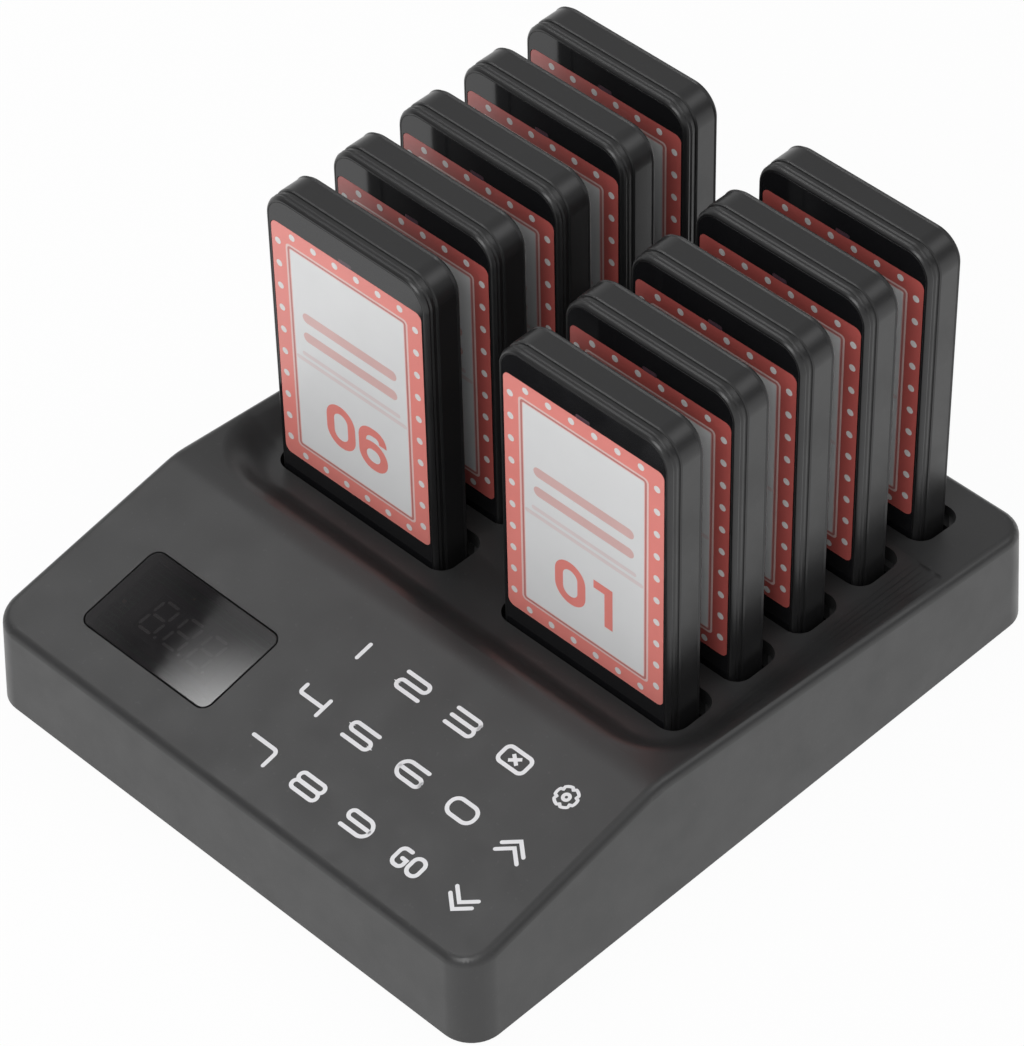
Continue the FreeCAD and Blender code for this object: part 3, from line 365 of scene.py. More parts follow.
def outward(verts, faces):
    """The same faces, all turned if together they enclose a negative volume."""
    volume = 0.0
    for face in faces:
        first = Vector(verts[face[0]])
        for second, third in zip(face[1:-1], face[2:]):
            volume += first.dot(Vector(verts[second]).cross(Vector(verts[third])))
    return faces if volume > 0 else [tuple(reversed(face)) for face in faces]


# Ribbons of print: a line of points with arcs at its corners, then a flat strip along it

ARC_STEPS = 8
LEAST_MITRE = 0.5
LAYER_STEP = 0.0008


def rounded_path(corners, closed=False):
    """Points of a path. Each corner is (x, y) or (x, y, radius)."""
    points = []
    count = len(corners)
    for i, corner in enumerate(corners):
        here = Vector(corner[:2])
        radius = corner[2] if len(corner) > 2 else 0.0
        if radius == 0.0 or (not closed and i in (0, count - 1)):
            points.append(here)
            continue
        before = (Vector(corners[i - 1][:2]) - here).normalized()
        after = (Vector(corners[(i + 1) % count][:2]) - here).normalized()
        half = before.angle(after) / 2
        reach = radius / math.tan(half)
        start, end = here + before * reach, here + after * reach
        middle = here + (before + after).normalized() * (radius / math.sin(half))
        first = math.atan2(start.y - middle.y, start.x - middle.x)
        sweep = math.atan2(end.y - middle.y, end.x - middle.x) - first
        sweep = (sweep + math.pi) % (2 * math.pi) - math.pi
        for k in range(ARC_STEPS + 1):
            turn = first + sweep * k / ARC_STEPS
            points.append(middle + Vector((math.cos(turn), math.sin(turn))) * radius)
    return points


def ribbon(points, width, closed=False, cap_steps=6, square=False):
    """Flat strip along points, with round or square ends. Returns plane points and faces."""
    verts, faces = [], []
    count = len(points)
    half = width / 2
    for i, here in enumerate(points):
        before = points[i - 1] if closed or i else None
        after = points[(i + 1) % count] if closed or i < count - 1 else None
        first = (here - before).normalized() if before is not None else (after - here).normalized()
        second = (after - here).normalized() if after is not None else first
        along = (first + second).normalized()
        side = Vector((-along.y, along.x))
        stretch = 1.0 / max(side.dot(Vector((-first.y, first.x))), LEAST_MITRE)
        verts.append(here + side * half * stretch)
        verts.append(here - side * half * stretch)
    for i in range(count if closed else count - 1):
        j = (i + 1) % count
        faces.append((2 * i, 2 * i + 1, 2 * j + 1, 2 * j))
    if not closed and not square:
        for end, inner in ((0, 1), (count - 1, count - 2)):
            out = (points[end] - points[inner]).normalized()
            side = Vector((-out.y, out.x))
            fan = []
            for k in range(cap_steps + 1):
                turn = math.pi * k / cap_steps
                verts.append(points[end] + side * half * math.cos(turn) + out * half * math.sin(turn))
                fan.append(len(verts) - 1)
            faces.append(tuple(reversed(fan)))
    return verts, faces


def joined(strips):
    """Several strips as one set of plane points and faces."""
    verts, faces = [], []
    for strip_verts, strip_faces in strips:
        base = len(verts)
        verts += strip_verts
        faces += [tuple(base + i for i in face) for face in strip_faces]
    return verts, faces


def disc(x, y, radius, steps=20):
    """A round dot, as plane points and one face."""
    points = []
    for k in range(steps):
        turn = 2 * math.pi * k / steps
        points.append(Vector((x + radius * math.cos(turn), y + radius * math.sin(turn))))
    return points, [tuple(range(steps))]


def layered(strips, place):
    """One mesh of several strips. place gets each one's lift, a hair above the one before."""
    flat, faces = joined(strips)
    verts = []
    for number, (strip_verts, _) in enumerate(strips):
        verts += [place(p.x, p.y, number * LAYER_STEP) for p in strip_verts]
    return verts, facing(flat, faces)


def facing(verts, faces):
    """Faces turned so that each runs anticlockwise in the plane."""
    turned = []
    for face in faces:
        pairs = [(verts[a], verts[b]) for a, b in zip(face, face[1:] + face[:1])]
        area = sum(a.x * b.y - b.x * a.y for a, b in pairs)
        turned.append(face if area > 0 else tuple(reversed(face)))
    return turned


def on_panel(x, v, n):
    """Row point of a place on the touch panel: v up the slope, n out of it."""
    cos, sin = math.cos(PANEL_TILT), math.sin(PANEL_TILT)
    return (x, PANEL_FRONT_Y + v * cos - n * sin, PANEL_FRONT_Z + v * sin + n * cos)


# Housing: the CAD form, welded and shaded as one smooth moulding

BASE_BACK_Y, BASE_BACK_Z = 95.0, 28.4
DECK_FALL = (CREASE_Z - BASE_BACK_Z) / (BASE_BACK_Y - CREASE_Y)
RECESS_Z = 30.7
RECESS_END_Y = CREASE_Y + (CREASE_Z - RECESS_Z) / DECK_FALL
BEND_REACH, BEND_CUTS, CUT_SHIFT = 13.0, 8, 0.02
BEND_LOW_Y, BEND_LOW_Z = 45.0, 24.0
STEP_REACH, STEP_LOW_Z, STEP_WELD = 0.05, 26.0, 0.12
NODE_WELD, CUT_WELD, SAME_PLACE = 0.002, 0.003, 0.001
HOUSING_SHARP = 34.0
WELL_HALF_WIDTH, WELL_HALF_DEPTH, WELL_LOW, WELL_HIGH = 29.5, 7.0, 2.0, 29.9
ROWS_IN_COLUMN = 5


def welded_copy(node_name, name):
    """A new object with the node's mesh, its points welded and the file's own normals taken off."""
    mesh = nodes[node_name].data.copy()
    mesh.name = name
    shape = bmesh.new()
    shape.from_mesh(mesh)
    bmesh.ops.remove_doubles(shape, verts=shape.verts, dist=NODE_WELD * MM)
    shape.to_mesh(mesh)
    shape.free()
    if "custom_normal" in mesh.attributes:
        mesh.attributes.remove(mesh.attributes["custom_normal"])
    mesh.shade_smooth()
    thing = bpy.data.objects.new(name, mesh)
    bpy.context.scene.collection.objects.link(thing)
    return thing


def smoothstep(low, high, value):
    t = min(max((value - low) / (high - low), 0.0), 1.0)
    return t * t * (3.0 - 2.0 * t)


def soften_recess_end(thing):
    """Lets the recess's level floor run out into the falling deck along a gentle bend, with no step."""
    mesh = thing.data
    shape = bmesh.new()
    shape.from_mesh(mesh)
    on_floor = [v for v in shape.verts if abs(v.co.z - RECESS_Z * MM) < SAME_PLACE * MM]
    step_y = max(v.co.y for v in on_floor) / MM
    for i in range(-BEND_CUTS, BEND_CUTS + 1):
        faces = [f for f in shape.faces
                 if f.normal.z > 0.9 and max(v.co.y for v in f.verts) > BEND_LOW_Y * MM]
        parts = set(faces)
        for face in faces:
            parts.update(face.edges)
            parts.update(face.verts)
        place = Vector((0, RECESS_END_Y + BEND_REACH * i / BEND_CUTS + CUT_SHIFT, 0)) * MM
        bmesh.ops.bisect_plane(shape, geom=list(parts), dist=SAME_PLACE * MM, plane_co=place,
                               plane_no=(0, 1, 0))
    step = DECK_FALL * (RECESS_END_Y - step_y)
    for vert in shape.verts:
        y, z = vert.co.y / MM, vert.co.z / MM
        off = y - RECESS_END_Y
        if z < BEND_LOW_Z or abs(off) > BEND_REACH:
            continue
        deck = CREASE_Z - DECK_FALL * (y - CREASE_Y)
        lift = 0.0
        if y < step_y + 0.01 and RECESS_Z - 0.01 < z < deck - SAME_PLACE:
            share = 1.0 - (z - RECESS_Z) / (deck - RECESS_Z)
            lift = step * smoothstep(RECESS_END_Y - BEND_REACH, step_y, y) * share
        bend = DECK_FALL * (BEND_REACH - abs(off)) ** 2 / (4 * BEND_REACH)
        vert.co.z += (lift - bend) * MM
    at_step = [v for v in shape.verts
               if abs(v.co.y / MM - step_y) < STEP_REACH and v.co.z > STEP_LOW_Z * MM]
    bmesh.ops.remove_doubles(shape, verts=at_step, dist=STEP_WELD * MM)
    bmesh.ops.remove_doubles(shape, verts=shape.verts, dist=CUT_WELD * MM)
    shape.to_mesh(mesh)
    shape.free()
    weigh_normals(mesh, HOUSING_SHARP)


def paint_shade_in_wells(thing):
    """Gives the faces inside the ten wells a rougher plastic whose near-black colour is painted shade."""
    thing.data.materials.append(WELL_PAINTED_SHADE)
    first_middle = FIRST_FACE_Y + PAGER_DEPTH / 2
    for face in thing.data.polygons:
        x, y, z = (c / MM for c in face.center)
        row = round((y - first_middle) / ROW_PITCH)
        from_row = abs(y - first_middle - ROW_PITCH * row)
        if (0 <= row < ROWS_IN_COLUMN and from_row < WELL_HALF_DEPTH
                and abs(abs(x) - COLUMN_X) < WELL_HALF_WIDTH and WELL_LOW < z < WELL_HIGH):
            face.material_index = len(thing.data.materials) - 1


housing = welded_copy("top_cover", "housing_top")
soften_recess_end(housing)
paint_shade_in_wells(housing)
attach(housing, "base")
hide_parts("top_cover")


# Display: smoked pane with softened edges, digits of bars behind it

def display_glass():
    """The pane, from its back face up its side and over the soft edge to its front face."""
    profile = ((0.30, -1.45), (0.18, -1.30), (0.18, -0.22), (0.22, -0.10), (0.30, -0.03), (0.42, 0.0))
    rings = []
    for inset, n in profile:
        loop = rounded_loop(WINDOW_WIDTH - 2 * inset, WINDOW_HEIGHT - 2 * inset, WINDOW_RADIUS - inset, 14)
        rings.append([on_panel(WINDOW_X + x, WINDOW_V + y, n) for x, y in loop])
    verts, faces = skin(rings)
    marks = [0] * (len(faces) - 2) + [1, 0]
    return make_object("display_glass", verts, faces, [WINDOW, WINDOW_BACK], marks, sharp=50)


glass = display_glass()
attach(glass, "base")
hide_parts("display_window")


DIGIT_PLACES = (-46.85, -38.80, -30.75)
DIGIT_MIDDLE_V, DIGIT_LEVEL = 26.0, -1.80
DIGIT_WIDTH, DIGIT_HEIGHT, DIGIT_LEAN = 4.95, 8.95, math.tan(math.radians(4.5))
BAR_WIDTH, BAR_END_GAP = 0.82, 0.46
POINT_RADIUS, POINT_SIDE, POINT_DROP = 0.42, 0.75, 0.05


def display_digits():
    """Three figures of seven bars with points, leaning a little, on the display block."""
    strips = []
    tip = BAR_WIDTH / 2
    near, far = BAR_END_GAP, BAR_END_GAP + tip
    foot = DIGIT_MIDDLE_V - DIGIT_HEIGHT / 2

    def add_bar(left, outline):
        points = [Vector((left + x + (z - DIGIT_HEIGHT / 2) * DIGIT_LEAN, foot + z)) for x, z in outline]
        strips.append((points, [tuple(range(len(points)))]))

    for middle_x in DIGIT_PLACES:
        left = middle_x - DIGIT_WIDTH / 2
        for y in (0.0, DIGIT_HEIGHT / 2, DIGIT_HEIGHT):
            add_bar(left, [(near, y), (far, y + tip), (DIGIT_WIDTH - far, y + tip), (DIGIT_WIDTH - near, y),
                           (DIGIT_WIDTH - far, y - tip), (far, y - tip)])
        for x in (0.0, DIGIT_WIDTH):
            for low, high in ((0.0, DIGIT_HEIGHT / 2), (DIGIT_HEIGHT / 2, DIGIT_HEIGHT)):
                add_bar(left, [(x, low + near), (x + tip, low + far), (x + tip, high - far),
                               (x, high - near), (x - tip, high - far), (x - tip, low + far)])
        strips.append(disc(middle_x + DIGIT_WIDTH / 2 + POINT_SIDE, foot - POINT_DROP, POINT_RADIUS, 14))
    flat, faces = joined(strips)
    verts = [on_panel(p.x, p.y, DIGIT_LEVEL) for p in flat]
    return make_object("display_bars", verts, facing(flat, faces), [SEGMENT])


bars = display_digits()
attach(bars, "base")


# Touch symbols: flat print on the panel

BAR_GAP, BEND = 2.32, 1.16
SYMBOL_LINE, CROSS_LINE, GEAR_LINE, HUB_LINE, CHEVRON_LINE = 1.02, 0.92, 0.78, 0.86, 0.98
GEAR_X, GEAR_V, GEAR_REACH, GEAR_DIP, GEAR_TEETH, GEAR_POINTS = 64.12, 47.6, 2.78, 0.52, 6, 96
HUB_V, HUB_RADIUS, HUB_POINTS = 47.55, 0.80, 24
PRINT_LIFT = 0.03


def s_curve(x, v, flip):
    """Three bars joined by two bends: a 2, or a 5 when flipped."""
    left, right = x - 3.95, x + 3.7
    high, middle, low = v + BAR_GAP, v, v - BAR_GAP
    if flip:
        return [(right - 0.1, high), (left, high, BEND), (left, middle, BEND), (right, middle, BEND),
                (right, low, BEND), (left + 0.1, low)]
    return [(left + 0.2, high), (right, high, BEND), (right, middle, BEND), (left, middle, BEND),
            (left, low, BEND), (right - 0.15, low)]


def gear_outline():
    """A round outline with six soft notches."""
    points = []
    for k in range(GEAR_POINTS):
        turn = 2 * math.pi * k / GEAR_POINTS
        dip = max(math.cos(GEAR_TEETH * turn + math.pi), 0.0) ** 3
        reach = GEAR_REACH - GEAR_DIP * dip
        points.append(Vector((GEAR_X + reach * math.cos(turn), GEAR_V + reach * math.sin(turn))))
    return points


def gear_hub():
    points = []
    for k in range(HUB_POINTS):
        turn = 2 * math.pi * k / HUB_POINTS
        points.append(Vector((GEAR_X + HUB_RADIUS * math.cos(turn), HUB_V + HUB_RADIUS * math.sin(turn))))
    return points


def panel_symbols():
    """The fifteen symbols, as lines of print in one mesh."""
    strips = []

    def open_line(corners, width=SYMBOL_LINE, square=False):
        strips.append(ribbon(rounded_path(corners), width, square=square))

    def ring(x, v, half_w, half_h, radius):
        corners = [(x - half_w, v - half_h, radius), (x + half_w, v - half_h, radius),
                   (x + half_w, v + half_h, radius), (x - half_w, v + half_h, radius)]
        strips.append(ribbon(rounded_path(corners, closed=True), SYMBOL_LINE, closed=True))

    def chevrons(x, v, rise):
        for shift in (0.0, -2.2):
            open_line([(x - 3.3, v + shift), (x, v + rise + shift), (x + 3.3, v + shift)], CHEVRON_LINE)

    # Back row: 1 2 3, boxed cross, gear
    open_line([(-0.35, 45.7), (-0.35, 50.2)])
    open_line(s_curve(15.75, 47.92, False))
    open_line([(28.1, 50.15), (35.7, 50.15, BEND), (35.7, 47.85, BEND), (34.0, 47.85)])
    open_line([(28.1, 47.85), (34.3, 47.85)])
    open_line([(34.0, 47.85), (35.7, 47.85, BEND), (35.7, 45.52, BEND), (28.1, 45.52)])
    ring(48.1, 47.7, 3.85, 2.32, 1.35)
    open_line([(46.85, 46.72), (49.4, 48.72)], CROSS_LINE, True)
    open_line([(46.85, 48.72), (49.4, 46.72)], CROSS_LINE, True)
    strips.append(ribbon(gear_outline(), GEAR_LINE, closed=True))
    strips.append(ribbon(gear_hub(), HUB_LINE, closed=True))
    # Middle row: 4 5 6 0, double chevron up
    open_line([(-4.2, 33.4), (-4.2, 31.0, 0.75), (3.3, 31.0)])
    open_line([(3.4, 33.4), (3.4, 28.6)])
    open_line(s_curve(15.75, 30.93, True))
    open_line([(35.35, 33.1), (28.12, 33.1, 2.28), (28.12, 28.5, 2.28), (35.7, 28.5, BEND),
               (35.7, 30.8, BEND), (28.4, 30.8)])
    ring(48.05, 30.68, 3.82, 2.32, 2.15)
    chevrons(64.15, 30.15, 2.77)
    # Front row: 7 8 9 GO, double chevron down
    open_line([(-4.35, 16.22), (3.4, 16.22, 1.1), (3.4, 11.5)])
    ring(15.7, 15.05, 3.8, 1.16, 1.12)
    ring(15.7, 12.66, 3.8, 1.16, 1.12)
    open_line([(28.45, 11.38), (35.68, 11.38, 2.3), (35.68, 16.08, 2.3), (28.12, 16.08, BEND),
               (28.12, 13.72, BEND), (35.3, 13.72)])
    open_line([(46.9, 15.93), (44.25, 15.93, 1.35), (44.25, 11.25, 1.35), (47.35, 11.25, 1.2),
               (47.35, 13.45), (46.05, 13.5)])
    ring(50.25, 13.58, 1.6, 2.34, 1.5)
    chevrons(64.15, 15.85, -2.77)
    verts, faces = layered(strips, lambda x, v, lift: on_panel(x, v, PRINT_LIFT + lift))
    return make_object("panel_symbols", verts, faces, [INK])


symbols = panel_symbols()
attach(symbols, "base")


# Pagers, drawn with the middle of the front face at x and y zero, then set in their wells

PAGER_HEIGHT = PAGER_HIGH - PAGER_LOW
PAGER_MIDDLE = (PAGER_HIGH + PAGER_LOW) / 2
CORNER_STEPS = 14

# Profiles of the two cases: depth behind the front face, and inset from the outline
SEAT_PROFILE = ((0.30, -0.10), (0.03, -0.10), (0.0, -0.14))
PANE_EDGE = (0.0, 1.60)
FRONT_PROFILE = (
    (0.10, 1.55), (0.10, 1.46), (0.01, 1.40), (0.0, 1.12), (0.07, 0.98), (0.26, 0.78), (0.54, 0.60),
    (0.62, 0.55), (1.00, 0.38), (1.06, 0.38), (1.12, 0.54), (1.20, 0.57), (1.56, 0.57), (1.62, 0.51),
    (2.02, 0.33), (2.08, 0.33), (2.14, 0.52), (2.22, 0.57), (2.62, 0.58),
)
REAR_PROFILE = (
    (2.58, 0.60), (3.20, 0.60), (3.26, 0.54), (3.30, 0.34), (3.68, 0.17), (3.78, 0.16), (9.18, 0.16),
    (9.24, 0.20), (9.30, 0.20), (9.72, 0.01), (9.80, 0.0), (9.86, 0.10), (9.92, 0.34), (10.00, 0.38),
    (10.30, 0.42), (10.52, 0.55), (10.66, 0.82), (PAGER_DEPTH, 1.20),
)
BACK_PANEL_WIDTH, BACK_PANEL_HEIGHT, BACK_PANEL_RADIUS, BACK_PANEL_RISE = 42.0, 78.0, 3.0, 6.0
BACK_PANEL_PROFILE = ((PAGER_DEPTH, 0.0), (PAGER_DEPTH - 0.25, 0.2))


def pager_ring(y, inset):
    """The pager's outline at a depth, drawn in by the inset."""
    loop = rounded_loop(PAGER_WIDTH - 2 * inset, PAGER_HEIGHT - 2 * inset, PAGER_RADIUS - inset, CORNER_STEPS)
    return [(x, y, PAGER_MIDDLE + z) for x, z in loop]


def card_ring(y, inset, radius):
    """The card's outline at a depth, drawn in by the inset."""
    loop = rounded_loop(CARD_WIDTH - 2 * inset, CARD_HIGH - CARD_LOW - 2 * inset, radius, CORNER_STEPS)
    return [(x, y, CARD_MIDDLE + z) for x, z in loop]


def pager_front():
    """Satin frame with two stepped ridges, round a gloss pane with a shallow seat for the card."""
    rings = [card_ring(y, inset, CARD_RADIUS) for y, inset in SEAT_PROFILE]
    rings.append(pager_ring(*PANE_EDGE))
    gloss_bands = len(rings) - 1
    rings += [pager_ring(y, inset) for y, inset in FRONT_PROFILE]
    verts, faces = skin(rings)
    count = len(rings[0])
    marks = [0 if i < gloss_bands * count else 1 for i in range(len(faces) - 2)] + [0, 1]
    return make_object("pager_front_master", verts, faces, [FACE, CASE], marks, sharp=24)


def pager_rear():
    """Parting groove, satin wall, fine step before the back edge, and a flat back with a shallow panel."""
    rings = [pager_ring(y, inset) for y, inset in REAR_PROFILE]
    for y, inset in BACK_PANEL_PROFILE:
        loop = rounded_loop(BACK_PANEL_WIDTH - 2 * inset, BACK_PANEL_HEIGHT - 2 * inset,
                            BACK_PANEL_RADIUS - inset, CORNER_STEPS)
        rings.append([(x, y, PAGER_MIDDLE + BACK_PANEL_RISE + z) for x, z in loop])
    verts, faces = skin(rings)
    return make_object("pager_rear_master", verts, faces, [CASE], sharp=24)


CARD_SINK, CARD_THICKNESS = 0.05, 0.25
CARD_BANDS = ((0.0, CARD_RADIUS), (4.55, 1.25), (5.10, 0.95), (5.70, 0.55), (5.95, 0.45))


def pager_label(name, coral):
    """Printed card: coral border, pale line, coral line, pale line, grey field, each sharing its edge."""
    rings = [card_ring(CARD_SINK + CARD_THICKNESS, 0.0, CARD_RADIUS)]
    rings += [card_ring(CARD_SINK, inset, radius) for inset, radius in CARD_BANDS]
    verts, faces = skin(rings)
    count = len(rings[0])
    marks = []
    for band in (0, 0, 1, 2, 3):
        marks += [band] * count
    marks += [0, 4]
    return make_object(name, verts, faces, [coral, PALE, CORAL_LINE, PALE, PAPER], marks, sharp=24)


DOT_INSET, DOT_RADIUS, DOT_DEPTH = 2.05, 0.95, 0.02
DOTS_ACROSS, DOT_PITCH_ACROSS, DOTS_UP, DOT_PITCH_UP = 6, 6.96, 10, 6.80


def pager_dots():
    """Pale dots along the card's border."""
    strips = []
    half_w, half_h = CARD_WIDTH / 2 - DOT_INSET, (CARD_HIGH - CARD_LOW) / 2 - DOT_INSET
    for k in range(DOTS_ACROSS):
        x = (k - (DOTS_ACROSS - 1) / 2) * DOT_PITCH_ACROSS
        strips += [disc(x, half_h, DOT_RADIUS), disc(x, -half_h, DOT_RADIUS)]
    for k in range(DOTS_UP):
        z = (k - (DOTS_UP - 1) / 2) * DOT_PITCH_UP
        strips += [disc(half_w, z, DOT_RADIUS), disc(-half_w, z, DOT_RADIUS)]
    flat, faces = joined(strips)
    verts = [(p.x, DOT_DEPTH, CARD_MIDDLE + p.y) for p in flat]
    return make_object("pager_dots_master", verts, facing(flat, faces), [DOT])


# Height of each bar's middle, half of its length, and its width: two heavy bars, then two fine ones
CARD_ROWS = ((84.3, 13.9, 2.9), (78.4, 13.9, 2.9), (72.7, 15.5, 1.2), (70.6, 17.6, 1.2))
ROW_DEPTH = 0.028


def pager_rows():
    """Plain bars across the card's field, with no lettering."""
    strips = []
    for z, half, width in CARD_ROWS:
        strips.append(ribbon([Vector((-half, z)), Vector((half, z))], width, cap_steps=8))
    verts, faces = layered(strips, lambda x, z, lift: (x, ROW_DEPTH, z))
    marks = [0 if number < len(faces) // 2 else 1 for number in range(len(faces))]
    return make_object("pager_rows_master", verts, faces, [ROWS, FINE_ROWS], marks)


LAMP_WIDTH, LAMP_HEIGHT, LAMP_RADIUS, LAMP_ABOVE_CARD = 4.2, 1.2, 0.45, 0.62


def lamp_lens():
    """Small dark lens over the card, standing a hair out of the pane."""
    rings = []
    for y, inset in ((0.25, 0.0), (0.0, 0.0), (-0.02, 0.08)):
        loop = rounded_loop(LAMP_WIDTH - 2 * inset, LAMP_HEIGHT - 2 * inset, LAMP_RADIUS - inset, 5)
        rings.append([(x, y, CARD_HIGH + LAMP_ABOVE_CARD + z) for x, z in loop])
    verts, faces = skin(rings)
    return make_object("pager_lamp_master", verts, faces, [LAMP], sharp=60)


FIGURE_LINE, FIGURE_HALF_W, FIGURE_HALF_H = 2.5, 3.5, 5.35
FIGURE_PLACES, FIGURE_MIDDLE_Z, FIGURE_DEPTH = (-4.35, 6.35), 56.2, 0.020


def figure_strips(figure, x):
    """Bold plain figure about (x, 0)."""
    w, h = FIGURE_HALF_W, FIGURE_HALF_H

    def open_line(corners):
        return ribbon(rounded_path([(x + c[0], *c[1:]) for c in corners]), FIGURE_LINE, square=True)

    def loop(low, high, half=w):
        radius = min(half, (high - low) / 2) - 0.01
        corners = [(x - half, low, radius), (x + half, low, radius),
                   (x + half, high, radius), (x - half, high, radius)]
        return ribbon(rounded_path(corners, closed=True), FIGURE_LINE, closed=True)

    if figure == "0":
        return [loop(-h, h)]
    if figure == "1":
        return [open_line([(-3.4, h - 0.2), (1.2, h - 0.2)]),
                open_line([(1.2, h - 0.2 + FIGURE_LINE / 2), (1.2, 0.3 - h - FIGURE_LINE / 2)])]
    if figure == "2":
        return [open_line([(-w - 0.2, h - 2.6), (-w - 0.2, h, 2.9), (w - 0.2, h, 3.0), (w - 0.2, 0.9, 2.4),
                           (-w + 0.4, -h + 0.2)]),
                open_line([(-w - 0.6, -h), (w + 0.6, -h)])]
    if figure == "3":
        return [open_line([(-w, h), (w - 0.4, h, 2.6), (w - 0.4, 0.6, 2.4), (-1.4, 0.6)]),
                open_line([(-1.4, 0.6), (w, 0.6, 2.9), (w, -h, 2.9), (-w - 0.2, -h)])]
    if figure == "4":
        return [open_line([(1.2, h + 1.0), (-w - 0.6, -2.0)]), open_line([(-w - 1.0, -2.3), (w + 1.0, -2.3)]),
                open_line([(1.7, 1.4), (1.7, -h - 1.17)])]
    if figure == "5":
        return [open_line([(w, h), (-w + 0.3, h)]), open_line([(-w + 0.4, h + 1.1), (-w + 0.2, 0.6)]),
                open_line([(-w + 0.1, 0.9), (w - 0.1, 0.9, 2.9), (w - 0.1, -h, 2.9), (-w - 0.2, -h)])]
    if figure == "6":
        return [loop(-h, 1.1), open_line([(-w, -2.0), (-w, h, 3.2), (w - 0.2, h, 2.4), (w - 0.2, h - 2.7)])]
    if figure == "7":
        return [open_line([(-w - 0.8, h), (w + 0.7, h)]), open_line([(w - 0.1, h - 0.2), (-1.6, -h - 1.17)])]
    if figure == "8":
        return [loop(0.35, h, w - 0.35), loop(-h, 0.35, w)]
    return [loop(-1.1, h), open_line([(w, 2.0), (w, -h, 3.2), (0.2 - w, -h, 2.4), (0.2 - w, 2.7 - h)])]


def pager_number(index, coral):
    """The pager's own two-figure number, below the bars."""
    number_text = f"{index:02d}"
    strips = []
    for figure, x in zip(number_text, FIGURE_PLACES):
        strips += figure_strips(figure, x)
    verts, faces = layered(strips, lambda x, z, lift: (x, FIGURE_DEPTH - lift, FIGURE_MIDDLE_Z + z))
    return make_object(f"pager_{number_text}_number", verts, faces, [coral])


PAD_WIDTH, PAD_DEPTH, PAD_RADIUS, PAD_X, PAD_Y = 6.6, 3.0, 0.8, 12.0, 5.3


def contact_pads():
    """Two gilt contacts in the pager's bottom face."""
    pads = []
    for x in (-PAD_X, PAD_X):
        loop = rounded_loop(PAD_WIDTH, PAD_DEPTH, PAD_RADIUS, 5)
        pads.append(skin([[(x + a, PAD_Y + b, PAGER_LOW + up) for a, b in loop] for up in (0.6, 0.02)]))
    verts, faces = joined(pads)
    return make_object("pager_contacts_master", verts, faces, [CONTACT], sharp=50)


# Part, its mesh, its finish, and the CAD node that it replaces
PARTS = (
    ("front", pager_front(), "pager_face", "front_case"),
    ("rear", pager_rear(), "pager_case", "rear_case"),
    ("label", pager_label("pager_label_master", CORAL), "card", "card"),
    ("dots", pager_dots(), "card", None),
    ("rows", pager_rows(), "card", None),
    ("lamp", lamp_lens(), "pager_face", None),
    ("contacts", contact_pads(), "contact", None),
)
# The front row's cards get the paler coral, which is painted light.
PAINTED_LIT_LABEL = pager_label("pager_front_label_master", CORAL_PAINTED_LIT)

for index in range(1, 11):
    column, row = divmod(index - 1, ROWS_IN_COLUMN)
    spot = (COLUMN_X * (1 - 2 * column), FIRST_FACE_Y + ROW_PITCH * row, 0.0)
    body = f"pager_{index:02d}"
    for part, master, finish, replaced in PARTS:
        original = PAINTED_LIT_LABEL if part == "label" and row == 0 else master
        piece = twin(f"{body}_{part}", original, spot)
        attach(piece, body)
        if replaced:
            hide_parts(f"{body}_{replaced}")
    # The front row's numbers are also in the paler coral, which is painted light.
    number = pager_number(index, CORAL if row else CORAL_PAINTED_LIT)
    number.location = Vector(spot) * MM
    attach(number, body)

for _, master, _, _ in PARTS:
    bpy.data.objects.remove(master)
bpy.data.objects.remove(PAINTED_LIT_LABEL)


# Studio: pale floor, white surround, soft lamps

FLOOR_GREY, FLOOR_GLOW_SHARE, FLOOR_REACH = 0.86, 0.95, 9.0


def combine(tree, operation, first, second):
    """A math node on two sockets, or on a socket and a number."""
    node = tree.nodes.new("ShaderNodeMath")
    node.operation = operation
    for socket, value in zip(node.inputs, (first, second)):
        if isinstance(value, float):
            socket.default_value = value
        else:
            tree.links.new(value, socket)
    return node.outputs[0]


def studio_floor():
    """Pale floor that glows nearly white where it is seen directly, mirrored or through a pane."""
    material = bpy.data.materials.new("floor")
    material.use_nodes = True
    tree = material.node_tree
    tree.nodes.clear()
    out = tree.nodes.new("ShaderNodeOutputMaterial")
    diffuse = tree.nodes.new("ShaderNodeBsdfDiffuse")
    diffuse.inputs["Color"].default_value = (FLOOR_GREY, FLOOR_GREY, FLOOR_GREY, 1.0)
    glow = tree.nodes.new("ShaderNodeEmission")
    glow.inputs["Strength"].default_value = 1.0
    path = tree.nodes.new("ShaderNodeLightPath")
    seen = combine(tree, "MAXIMUM", path.outputs["Is Camera Ray"], path.outputs["Is Glossy Ray"])
    seen = combine(tree, "MAXIMUM", seen, path.outputs["Is Transmission Ray"])
    mix = tree.nodes.new("ShaderNodeMixShader")
    tree.links.new(combine(tree, "MULTIPLY", seen, FLOOR_GLOW_SHARE), mix.inputs[0])
    tree.links.new(diffuse.outputs[0], mix.inputs[1])
    tree.links.new(glow.outputs[0], mix.inputs[2])
    tree.links.new(mix.outputs[0], out.inputs["Surface"])
    mesh = bpy.data.meshes.new("floor")
    reach = FLOOR_REACH
    corners = [(-reach, -reach, 0), (reach, -reach, 0), (reach, reach, 0), (-reach, reach, 0)]
    mesh.from_pydata(corners, [], [(0, 1, 2, 3)])
    mesh.materials.append(material)
    floor = bpy.data.objects.new("floor", mesh)
    bpy.context.scene.collection.objects.link(floor)


